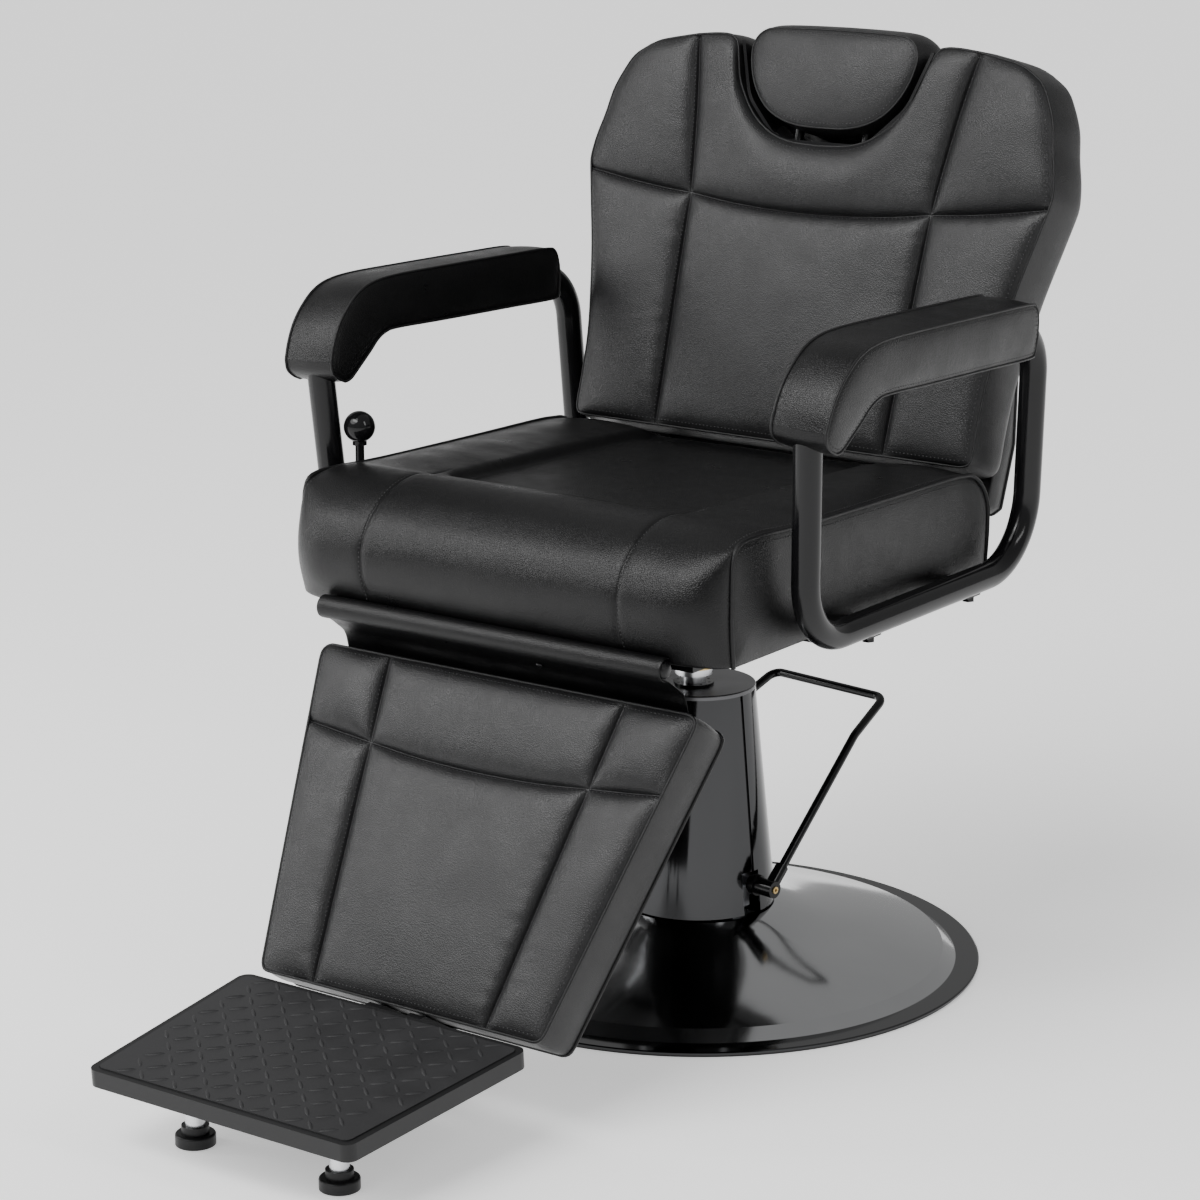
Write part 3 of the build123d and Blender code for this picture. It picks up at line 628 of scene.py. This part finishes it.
def seam_rows(shell, lines, middle):
    """Places for thread beside seams; all but the middle one have a twin on the other side."""
    rows = []
    for line in lines:
        thread = beside(line, SEAM_THREAD)
        rows.append(on_surface(shell, thread))
        if line is not middle:
            rows.append(on_surface(shell, mirrored(thread)))
    return rows


def other_side(panels):
    """The same panels on the other side of the middle."""
    return [np.stack([-g[:, ::-1, 0], g[:, ::-1, 1]], axis=2) for g in panels]


# ---------------------------------------------------------------- backrest
# outline and seams of the left half, seen from the front: (x, up the face) from the lower edge
SIDE_LOW = [(254, 3), (264, 6), (267, 16), (267, 50), (269, 100), (276, 150), (286, 205), (299, 260),
            (307, 294)]
SIDE_HIGH = [(307, 294), (309, 308), (306, 332), (299, 360), (293, 390), (282, 415), (271, 432),
             (252, 445)]
SHOULDER = [(252, 445), (238, 451), (215, 456), (188, 461)]
NOTCH = [(188, 461), (162, 463.5), (143, 463), (133, 457), (128, 440), (121, 415), (111, 396), (98, 378),
         (82, 363), (62, 351), (36, 344), (0, 342)]
SEAM_LOW = [(154, 3), (155, 60), (157, 130), (159, 200), (161, 276)]
SEAM_HIGH = [(161, 276), (167, 330), (176, 395), (188, 461)]
CROSS_SIDE = [(161, 276), (200, 279), (250, 285), (307, 294)]
CROSS_MID = [(-161, 276), (-110, 269.5), (-55, 265.5), (0, 264), (55, 265.5), (110, 269.5), (161, 276)]


def backrest():
    """Front cushion in six panels, with a notch for the headrest."""
    place = leaning(BACK)
    wide, narrow, tall, short = 62, 26, 54, 34      # grid divisions of the panels
    low, high = smooth_curve(SEAM_LOW), smooth_curve(SEAM_HIGH)
    mid, side = smooth_curve(CROSS_MID), smooth_curve(CROSS_SIDE)
    notch = smooth_curve(NOTCH)
    whole_notch = mirrored(notch) + [tuple(p) for p in notch[::-1]][1:]
    panels = [
        coons([(-154, 3), (154, 3)], mid, mirrored(low), low, wide, tall),
        coons(mid, whole_notch, mirrored(high), high, wide, short),
        coons([(154, 3), (254, 3)], side, low, smooth_curve(SIDE_LOW), narrow, tall),
        coons(side, smooth_curve(SHOULDER)[::-1], high, smooth_curve(SIDE_HIGH), narrow, short),
    ]
    panels += other_side(panels[2:])

    def gusset(share, x, y):
        swell, tuck, tuck_from = 6.5, 4, 0.82
        rise = swell * sin(pi / 2 * min(1.0, share * 1.3))
        return rise - tuck * max(0.0, (share - tuck_from) / (1 - tuck_from)) ** 2
    shell = Shell(panels, place, thick=62, crown=9.5, dome=5.5, wall=gusset, rows=12, back=0, seed=1.0)
    shell.make("back_cushion_cover", LEATHER, "backrest", "back_cushion", "back_board")
    piping("back_front_piping", shell.front_rim, "backrest", 1.5)
    rows = seam_rows(shell, (low, high, mid, side), middle=mid)
    stitches("back_stitches", rows + [shell.edge_row(6)], "backrest")
    back_cover(place, panels)


def back_cover(place, panels):
    """Upholstered rear panel of the backrest, with its own piping."""
    rear_face = 65                                    # depth behind the front cushion's face
    shrink_x, shrink_up, low_from, low_to = 0.985, 0.988, 3, 4

    def rear(x, up, depth):
        return place(-x, up, rear_face - depth)
    flat = [np.stack([g[..., 0] * shrink_x, low_to + (g[..., 1] - low_from) * shrink_up], axis=2)
            for g in panels]
    shell = Shell(flat, rear, thick=4, crown=2.5, dome=2, seam=1.6, pucker=0.5, back=0, bulge=0.4,
                  rows=3, seed=31.0)
    shell.make("back_rear_cover", LEATHER, "backrest", "back_rear_panel")
    piping("back_rear_piping", shell.front_rim, "backrest", 1.8)


# ---------------------------------------------------------------- headrest
HEAD_HALF = [(0, 363), (30, 364), (56, 370), (78, 382), (94, 400), (105, 422), (110, 446), (107, 460),
             (99, 469), (86, 473.5), (50, 475.2), (0, 475.8)]
HEAD_SIDE_LOW, HEAD_SIDE_HIGH, HEAD_SIDE_X = 420, 467, 90     # where the outline counts as its side


def headrest():
    """Rounded cushion with a soft gusset that swells where it stands clear of the notch."""
    place = leaning(BACK)
    half = smooth_curve(HEAD_HALF)
    low = [p for p in half if p[1] < HEAD_SIDE_LOW]
    side = [p for p in half if HEAD_SIDE_LOW <= p[1] <= HEAD_SIDE_HIGH and p[0] > HEAD_SIDE_X]
    top = [p for p in half if p[0] <= side[-1][0] and p[1] >= side[-1][1]]
    low.append(side[0])
    bottom = mirrored(reversed(low)) + [tuple(p) for p in low][1:]
    crest = mirrored(top) + [tuple(p) for p in reversed(top)][1:]

    def swell(share, x, y):
        free = min(1.0, max(0.0, (y - HEAD_SIDE_LOW) / 45))
        return (3.5 + 5 * free) * sin(pi * share) ** 0.8 + (1 + 2 * free) * share
    grid = coons(bottom, crest, mirrored(side), side, 48, 26)
    shell = Shell([grid], place, thick=63, crown=6, dome=5, shoulder=10, back=2, wall=swell, rows=10,
                  seed=3.0)
    shell.make("headrest_cover", LEATHER, "headrest", "headrest_cushion")
    piping("headrest_piping", shell.front_rim, "headrest", 1.4, 200)
    stitches("headrest_stitches", [shell.edge_row(5)], "headrest")


# ---------------------------------------------------------------- calf pad
def calf_pad():
    """Leg pad in six panels, wider at the top; up the face is measured from its upper edge."""
    place = leaning(CALF)
    wide, narrow, tall, short = 52, 18, 52, 20      # grid divisions of the panels
    cross = [(142, -95), (185, -91), (230, -86)]
    mid = smooth_curve([(-142, -95), (-75, -101), (0, -103), (75, -101), (142, -95)])
    upper, lower = [(142, -95), (153, 0)], [(112, -356), (142, -95)]
    right_low = [(174, -356), (179, -354.5), (182, -351), (184, -345), (230, -86)]
    right_high = [(230, -86), (242.5, -16), (242.5, -8), (239, -2.5), (232, 0)]
    panels = [
        coons([(-112, -356), (112, -356)], mid, mirrored(lower), lower, wide, tall),
        coons(mid, [(-153, 0), (153, 0)], mirrored(upper), upper, wide, short),
        coons([(112, -356), (174, -356)], cross, lower, right_low, narrow, tall),
        coons(cross, [(153, 0), (232, 0)], upper, right_high, narrow, short),
    ]
    panels += other_side(panels[2:])
    shell = Shell(panels, place, thick=57, crown=7.5, dome=4.5, bulge=2.2, seed=5.0, back=1)
    shell.make("calf_pad_cover", LEATHER, "footrest", "calf_pad", "calf_board")
    piping("calf_front_piping", shell.front_rim, "footrest", 1.7)
    piping("calf_rear_piping", shell.rear_rim, "footrest", 2.2)
    seams = (resample(lower, 60), resample(upper, 30), mid, resample(cross, 20))
    rows = seam_rows(shell, seams, middle=mid)
    stitches("calf_stitches", rows + [shell.edge_row(6)], "footrest")


# ---------------------------------------------------------------- rear lower pad
REAR_PAD_THICK, REAR_PAD_INNER = 33, 68      # thickness at its foot, and depth of its inner face
REAR_PAD_TAPER, TAPER_FROM = 0.23, 44        # how it thins upwards, and from what height


def rear_lower_pad():
    """Pad over the mechanism behind the backrest, thinner towards its top."""
    place = leaning(BACK)

    def rear(x, up, depth):
        full = REAR_PAD_INNER + REAR_PAD_THICK - max(0.0, up - TAPER_FROM) * REAR_PAD_TAPER
        return place(-x, up, full - depth * (full - REAR_PAD_INNER) / REAR_PAD_THICK)
    bottom = [(-258, -30), (-250, -38), (250, -38), (258, -30)]
    top = [(-258, 118), (-250, 126), (250, 126), (258, 118)]
    right = [(258, -30), (260, 40), (258, 118)]
    grid = coons(bottom, top, mirrored(right), right, 86, 26)
    shell = Shell([grid], rear, thick=REAR_PAD_THICK, crown=5, dome=3, back=0, bulge=2.5, seed=9.0)
    shell.make("rear_lower_cover", LEATHER, "backrest", "rear_lower_pad")
    piping("rear_lower_piping", shell.front_rim, "backrest", 2.4)
    stitches("rear_lower_stitches", [shell.edge_row(6)], "backrest")


# ---------------------------------------------------------------- arm pads
ARM_PAD_HALF = 34          # half of the pad's width
ARM_BACK_ROUND = 2         # how far each flat face stays inside that width, for its swell
# the pad's outline from the side: (y, z) of its top, underside and nose, from rear to front
ARM_TOP = [(130, 752), (126, 765), (112, 772), (30, 774.5), (-90, 777), (-170, 778), (-211, 775),
           (-236, 767), (-256, 753), (-272, 736), (-283, 716), (-289, 698)]
ARM_LOW = [(128, 718), (118, 713), (30, 715), (-90, 718), (-172, 720.5), (-193, 718.5), (-208, 712),
           (-222, 701), (-240, 688), (-257, 676), (-267, 674)]
ARM_NOSE = [(-267, 674), (-278, 679), (-287, 687), (-289, 698)]
ARM_HEEL = [(128, 718), (131, 735), (130, 752)]


def arm_pads():
    for name, side in (("right", -1), ("left", 1)):
        arm_pad(name, side)


def arm_pad(name, side):
    """Bent pad; the shell's first coordinate is y times the side, so that its faces turn outwards."""
    place = arm_plane(side)

    def put(a, b, depth):
        return place(a * side, b, depth)
    low, top, nose = ([(y * side, z) for y, z in smooth_curve(line)] for line in (ARM_LOW, ARM_TOP, ARM_NOSE))
    heel = [(y * side, z) for y, z in ARM_HEEL]
    if side > 0:
        grid = coons(low[::-1], top[::-1], nose, heel, 84, 14)
    else:
        grid = coons(low, top, heel, nose, 84, 14)
    shell = Shell([grid], put, thick=2 * (ARM_PAD_HALF - ARM_BACK_ROUND), crown=3.4, dome=1.6, shoulder=8,
                  back=4.6, bulge=1.8, rows=9, seed=11.0 + side)
    shell.make(f"arm_pad_{name}_cover", SHADED_LEATHER, "seat", f"arm_pad_{name}")
    piping(f"arm_{name}_outer_piping", shell.front_rim, "seat", 1.6)
    piping(f"arm_{name}_inner_piping", shell.rear_rim, "seat", 1.6)
    stitches(f"arm_{name}_stitches", [shell.edge_row(5)], "seat")


# ---------------------------------------------------------------- seat
# section of the seat, (y, z) from the front lower edge over the top to the rear lower edge: at its
# side, and with the full front roll
SEAT_SIDE = [(-342, 459), (-346, 500), (-346, 545), (-344, 570), (-333, 584), (-297, 586), (-240, 583),
             (-175, 581), (-40, 578.5), (70, 577), (105, 575), (126, 572), (145, 561), (158, 545), (164, 528),
             (164, 500), (160, 459)]
SEAT_MID = [(-370, 459), (-385, 494), (-388, 523), (-381, 545), (-368, 563), (-345, 580), (-318, 590),
            (-288, 592), (-240, 586), (-40, 580), (70, 577), (105, 574), (128, 570), (147, 560), (160, 544),
            (164, 526), (160, 459)]
SEAT_HALF, SEAT_SEAM = 275, 165
SEAT_ROWS = 120            # stations along the section
UNDER_ROWS = 30            # and across the underside
SEAT_CORNER = 62           # how far in from the side the front roll starts to turn
SEAT_RIM = 10              # how far from the side edge the relief grows to its full depth
SEAT_SWELL, SWELL_REACH = 4.2, 11       # how far the side walls stand out, and how soon
SIDE_LINE_Z, SIDE_LINE_FRONT, SIDE_LINE_REAR = 520.0, -290.0, 104.0   # where they are drawn together

# relief of the cover, in millimetres: fade zones as (from, to), then the depths
TOP_ZONE = (540, 572)
INSET_SIDE, INSET_FRONT, INSET_REAR = (147, 159), (-262, -236), (118, 150)
BOLSTER_IN, BOLSTER_FRONT = 158, (-290, -190)
CHANNEL_X, CHANNEL_FRONT, CHANNEL_REAR = 154, (-250, -200), (110, 150)
CROSSING_Y, CROSSING_SIDE = -238, (120, 205)
SEAM_REAR = (-262, -222)
FULLNESS, FOLD_HEIGHT, CREASE_HEIGHT = 1.0, 0.9, 0.7
INSET_DEPTH, BOLSTER_HEIGHT, SEAM_DEPTH, CHANNEL_DEPTH, CROSSING_DEPTH = 10.5, 4.0, 2.8, 2.4, 2.0


def ramp(value, low, high):
    """Smooth step from 0 at low to 1 at high."""
    t = min(1.0, max(0.0, (value - low) / (high - low)))
    return t * t * (3 - 2 * t)


def front_share(x):
    """1 where the seat has its full profile, 0 at the side edge."""
    out = min(1.0, max(0.0, (abs(x) - SEAT_HALF + SEAT_CORNER) / SEAT_CORNER))
    return (1 - out ** 2.2) ** 0.5


def seat_offset(x, y, z, along):
    """How far the cover stands out from its plain form."""
    ax = abs(x)
    top = ramp(z, *TOP_ZONE)
    inset = (1 - ramp(ax, *INSET_SIDE)) * ramp(y, *INSET_FRONT) * (1 - ramp(y, *INSET_REAR)) * top
    across = min(1.0, max(0.0, (ax - BOLSTER_IN) / (SEAT_HALF - BOLSTER_IN)))
    bolster = sin(pi * across) * ramp(y, *BOLSTER_FRONT) * top
    from_seam = abs(ax - SEAT_SEAM)
    seam = exp(-from_seam / 2.2) * (1 - ramp(y, *SEAM_REAR))
    crossing = exp(-abs(y - CROSSING_Y) / 9) * (1 - ramp(ax, *CROSSING_SIDE)) * top
    channel = (exp(-abs(ax - CHANNEL_X) / 5) * ramp(y, *CHANNEL_FRONT)
               * (1 - ramp(y, *CHANNEL_REAR)) * top)
    crease = exp(-from_seam / 16) * noise.noise(
        Vector((along / 8.0, ax / 24.0, 2.0 if x > 0 else 6.0)))
    folds = noise.noise(Vector((x / 75.0, along / 60.0, 4.0)))
    raised = FULLNESS + BOLSTER_HEIGHT * bolster + CREASE_HEIGHT * crease + FOLD_HEIGHT * folds
    sunk = (INSET_DEPTH * inset + SEAM_DEPTH * seam + CHANNEL_DEPTH * channel
            + CROSSING_DEPTH * crossing)
    return raised - sunk


def seat_columns():
    """Places across the seat, closer together at the seams and round the corners."""
    turn = SEAT_HALF - SEAT_CORNER * (1 - np.sin(np.linspace(0, pi / 2, 19)))
    half = np.concatenate([
        np.linspace(0, SEAT_SEAM - 4, 37)[:-1],
        SEAT_SEAM + np.array([-4, -1.6, 0, 1.6]),
        np.linspace(SEAT_SEAM + 4, SEAT_HALF - SEAT_CORNER, 10)[:-1],
        turn,
    ])
    return np.concatenate([-half[:0:-1], half])


def seat():
    """Cushion with a sunken middle between bolsters, and a full front roll in three panels."""
    side, mid = (resample(smooth_curve(line), SEAT_ROWS) for line in (SEAT_SIDE, SEAT_MID))
    under_side, under_mid = (resample([line[-1], line[0]], UNDER_ROWS)[1:-1] for line in (side, mid))
    around_side, around_mid = np.vstack([side, under_side]), np.vstack([mid, under_mid])
    columns, step = seat_columns(), 9.0      # step: nominal distance from station to station
    verts, faces = [], []
    rows, cols = len(around_side), len(columns)
    for k in range(rows):
        for x in columns:
            share = front_share(x)
            p = around_side[k] + (around_mid[k] - around_side[k]) * share
            a, b = k - 1, (k + 1) % rows
            run = (around_side[b] - around_side[a]) * (1 - share) + (around_mid[b] - around_mid[a]) * share
            normal = np.array([-run[1], run[0]]) / np.linalg.norm(run)
            rim = 1 - exp(-(SEAT_HALF - abs(x)) / SEAT_RIM)
            fade = max(0.0, min(1.0, k / 4, (SEAT_ROWS - k) / 4)) * rim
            q = p + normal * seat_offset(x, p[0], p[1], k * step) * fade
            verts.append(Vector((x, q[0], q[1])) * MM)
    for k in range(rows):
        for j in range(cols - 1):
            a, b = k * cols + j, (k + 1) % rows * cols + j
            faces.append((a, a + 1, b + 1, b))
    seat_sides(verts, faces, rows, cols)
    obj = add("seat_cover", verts, faces, SHADED_LEATHER, "seat")
    subdivide(obj)
    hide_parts("seat_cushion", "seat_board")
    seat_trim(obj, side)


def seat_sides(verts, faces, rows, cols):
    """Side walls with a slight swell, drawn together on a line at half height."""
    for j, sign in ((0, -1), (cols - 1, 1)):
        rim = [k * cols + j for k in range(rows)]
        last = rim
        for share in (0.03, 0.09, 0.18, 0.32, 0.5, 0.7, 0.85, 1.0):
            ring = []
            for k in rim:
                y, z = verts[k][1] / MM, verts[k][2] / MM
                to_y = min(SIDE_LINE_REAR, max(SIDE_LINE_FRONT, y)) - y
                to_z = SIDE_LINE_Z - z
                out = SEAT_SWELL * (1 - exp(-hypot(to_y, to_z) * share / SWELL_REACH))
                ring.append(len(verts))
                verts.append(Vector((sign * (SEAT_HALF + out), y + to_y * share, z + to_z * share)) * MM)
            for n in range(rows):
                quad = (last[n], last[(n + 1) % rows], ring[(n + 1) % rows], ring[n])
                faces.append(quad if sign > 0 else quad[::-1])
            last = ring


def seat_trim(obj, side):
    """Side piping, and thread on both sides of it and along the front seams."""
    surface = surface_of(obj)
    rows = []
    for sign in (-1, 1):
        name = "left" if sign > 0 else "right"
        line = [Vector((sign * (SEAT_HALF + 0.8), y, z)) * MM for y, z in side]
        tube(f"seat_{name}_piping", line, 2.5, "seat", closed=False)
        rows.append(thread_row(surface, [(sign * (SEAT_HALF - 7), y, z) for y, z in side]))
        rows.append(thread_row(surface, [(sign * (SEAT_HALF + 3), y + (2 if y < -340 else 0), z - 7)
                                         for y, z in side if z > 480]))
        front = [p for p in resample(smooth_curve(SEAT_MID), 160) if p[0] < -228]
        rows.append(thread_row(surface, [(sign * (SEAT_SEAM + 1.5), y, z + 1) for y, z in front]))
    stitches("seat_stitches", rows, "seat")


def thread_row(surface, points):
    """Points and normals on a surface nearest to the given points."""
    return [surface.find_nearest(Vector(p) * MM)[:2] for p in points]


# ---------------------------------------------------------------- flap between seat and footrest
ROLL_Y, ROLL_Z, ROLL_R = -381, 457.5, 10.5
ROLL_END = [(-224, 0.0), (-223.5, 6.0), (-221, 9.2), (-216, ROLL_R)]      # (x, radius)
FLAP_HALF, FLAP_THICK = 222, 1.4
WRAP_R = 12                       # the flap's radius round the roll
FLAP_TAIL = [(-371, 441), (-360, 433), (-350, 425), (-344.5, 415), (-341.5, 405), (-340, 399)]


def flap_roll():
    """Padded roll under the front of the seat, with rounded ends."""
    middle = [(x, ROLL_R) for x in np.linspace(-208, 208, 60)]
    stations = ROLL_END + middle + mirrored(reversed(ROLL_END))
    verts, sides = [], 20
    for x, r in stations:
        for s in range(sides):
            angle = 2 * pi * s / sides
            wrinkle = 0.35 * noise.noise(Vector((x / 11.0, cos(angle) * 2, sin(angle) * 2)))
            out = r + wrinkle if r > 9 else r          # the ends stay smooth
            verts.append(Vector((x, ROLL_Y + out * cos(angle), ROLL_Z + out * sin(angle))) * MM)
    faces = ring_faces(len(stations), sides)
    roll = add("flap_roll_cover", verts, faces, SHADED_LEATHER, "seat")
    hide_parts("flap_roll")


def leg_flap():
    """Hanging flap of leather: over the roll, under it, then back and down to the footrest."""
    turn = np.radians(np.arange(60, 281, 20))
    wrap = [(ROLL_Y + WRAP_R * cos(a), ROLL_Z + WRAP_R * sin(a)) for a in turn]
    path = smooth_curve(wrap + FLAP_TAIL, 4)
    length = float(lengths(path)[-1])
    path = resample(path, 44)
    cols, verts, faces = 90, [], []
    for y, z in path:
        for j in range(cols + 1):
            x = -FLAP_HALF + 2 * FLAP_HALF * j / cols
            sag = 1.2 * noise.noise(Vector((x / 45.0, z / 18.0, 8.0))) * ramp(-z, -446, -425)
            verts.append(Vector((x, y + sag, z)) * MM)
    for k in range(len(path) - 1):
        for j in range(cols):
            a = k * (cols + 1) + j
            faces.append((a, a + cols + 1, a + cols + 2, a + 1))
    flap = add("leg_flap_sheet", verts, faces, SHADED_LEATHER, None)
    solid = flap.modifiers.new("thick", "SOLIDIFY")
    solid.thickness, solid.offset = FLAP_THICK * MM, 0
    subdivide(flap)
    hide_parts("leg_flap")
    snap = flap_snap()
    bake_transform(flap)


def flap_snap():
    """Press stud on the flap's face."""
    centre, out = Vector((50, -361.5, 431)) * MM, Vector((0, -0.62, -0.78))
    profile = ((4.2, -1.0), (4.2, 0.6), (3.4, 1.6), (1.6, 2.0))       # (radius, height)
    across = Vector((1, 0, 0))
    up = out.cross(across)
    verts, sides = [], 16
    for r, h in profile:
        for s in range(sides):
            a = 2 * pi * s / sides
            verts.append(centre + (across * cos(a) + up * sin(a)) * r * MM + out * h * MM)
    faces = ring_faces(len(profile), sides)
    faces.append(tuple(range(len(verts) - sides, len(verts))))
    faces.append(tuple(reversed(range(sides))))
    return add("flap_snap", verts, faces, GLOSS_PLASTIC, "seat")


# ---------------------------------------------------------------- footplate tread
PLATE_HALF_REAR, PLATE_HALF_FRONT, PLATE_LONG = 185, 167, 258
TREAD_TOP, BAR_HEIGHT, BAR_ANGLE = 1.2, 1.5, 42
TREAD_ROWS, TREAD_PITCH, ROW_SHARE = 12, 21.5, 0.97       # a row's spacing as a share of the pitch
TREAD_MARGIN, FIRST_ROW = 22, 13                          # bare borders at the sides and the rear
BAR_OUTLINE = [(-12, 0), (-7, 1.7), (0, 2.5), (7, 1.7), (12, 0), (7, -1.7), (0, -2.5), (-7, -1.7)]
BAR_RIDGE = [(-6, 0), (6, 0)]
BAR_FACES = ((0, 1, 8), (1, 2, 9, 8), (2, 3, 9), (3, 4, 9), (4, 5, 9), (5, 6, 9), (6, 7, 8, 9), (7, 0, 8))


def tread_pattern():
    """Raised lens-shaped bars of the rubber mat, turned alternately left and right."""
    slope = radians(PLATE_SLOPE)
    verts, faces = [], []
    corners = ([(a, b, TREAD_TOP - 0.2) for a, b in BAR_OUTLINE]      # its foot is sunk into the mat
               + [(a, b, TREAD_TOP + BAR_HEIGHT) for a, b in BAR_RIDGE])

    def put(x, s, h):
        y, z = s * cos(slope) - h * sin(slope), s * sin(slope) + h * cos(slope)
        return Vector((x, PLATE_Y + y, PLATE_Z + z)) * MM
    for row in range(TREAD_ROWS):
        s = -FIRST_ROW - row * TREAD_PITCH * ROW_SHARE
        half = PLATE_HALF_REAR + (PLATE_HALF_REAR - PLATE_HALF_FRONT) * s / PLATE_LONG - TREAD_MARGIN
        count = int(half / TREAD_PITCH)
        for col in range(-count, count + 1):
            angle = radians(BAR_ANGLE if (row + col) % 2 else -BAR_ANGLE)
            first = len(verts)
            for a, b, h in corners:
                x = col * TREAD_PITCH + a * cos(angle) - b * sin(angle)
                verts.append(put(x, s + a * sin(angle) + b * cos(angle), h))
            faces += [tuple(first + k for k in reversed(face)) for face in BAR_FACES]
    add("tread_bars", verts, faces, TREAD, "footplate")


# ---------------------------------------------------------------- studio
# metres, degrees, and watts for the area lights
FLOOR_HALF, FLOOR_GLOW, SKY = 150, 0.53, 0.42
SUN_STRENGTH, SUN_ANGLE, SUN_TURN = 2.3, 50, (38, -18)
SOFTBOXES = {              # place, width and height, power
    "left": ((-2.6, -1.6, 1.6), (0.7, 2.2), 38),
    "right": ((2.6, -0.5, 2.3), (0.5, 1.6), 16),
    "front": ((-0.5, -2.6, 3.4), (2.2, 0.9), 44),
}
LIGHT_AIM = Vector((0, -0.1, 0.6))
CAMERA_AT, CAMERA_AZIMUTH, CAMERA_ELEVATION = (2.1345, -3.1627, 1.3961), 35.635, 14.3945
CAMERA_LENS, CAMERA_SENSOR, CAMERA_REACH = 105.67, 36, 500


def link(name, data):
    """New object in the scene, for a floor, a light or the camera."""
    obj = bpy.data.objects.new(name, data)
    bpy.context.scene.collection.objects.link(obj)
    return obj


def studio():
    """Pale floor, plain sky, a soft sun and three softboxes."""
    floor = bpy.data.meshes.new("floor")
    h = FLOOR_HALF
    floor.from_pydata([(-h, -h, 0), (h, -h, 0), (h, h, 0), (-h, h, 0)], [], [(0, 1, 2, 3)])
    mat, tree, shader, coords = new_material("floor_pale", (0.92, 0.92, 0.92), 0.55)
    cloudy = texture(tree, coords, "Noise", 1.5)
    tree.links.new(shade_mix(tree, cloudy.outputs["Fac"], (0.91, 0.91, 0.91), (0.93, 0.93, 0.93)),
                   shader.inputs["Base Color"])
    shader.inputs["Emission Color"].default_value = (1, 1, 1, 1)
    shader.inputs["Emission Strength"].default_value = FLOOR_GLOW
    floor.materials.append(mat)
    link("floor", floor)
    world = bpy.data.worlds.new("studio")
    world.use_nodes = True
    sky = world.node_tree.nodes["Background"]
    sky.inputs["Color"].default_value = (1, 1, 1, 1)
    sky.inputs["Strength"].default_value = SKY
    bpy.context.scene.world = world
    sun = bpy.data.lights.new("sun", "SUN")
    sun.energy, sun.angle = SUN_STRENGTH, radians(SUN_ANGLE)
    turn_x, turn_y = SUN_TURN
    link("sun", sun).rotation_euler = (radians(turn_x), radians(turn_y), 0)
    for name, (place, (wide, high), power) in SOFTBOXES.items():
        light = bpy.data.lights.new(name, "AREA")
        light.shape, light.size, light.size_y, light.energy = "RECTANGLE", wide, high, power
        lamp = link(name, light)
        lamp.location = place
        lamp.rotation_euler = (LIGHT_AIM - Vector(place)).to_track_quat("-Z", "Y").to_euler()


def camera():
    cam = bpy.data.cameras.new("camera")
    cam.lens, cam.sensor_width, cam.clip_end = CAMERA_LENS, CAMERA_SENSOR, CAMERA_REACH
    obj = link("camera", cam)
    obj.location = CAMERA_AT
    obj.rotation_euler = (radians(90 - CAMERA_ELEVATION), 0, radians(CAMERA_AZIMUTH))
    bpy.context.scene.camera = obj


camera()
studio()
finish_cad_nodes()
backrest()
headrest()
calf_pad()
rear_lower_pad()
arm_pads()
seat()
flap_roll()
leg_flap()
tread_pattern()
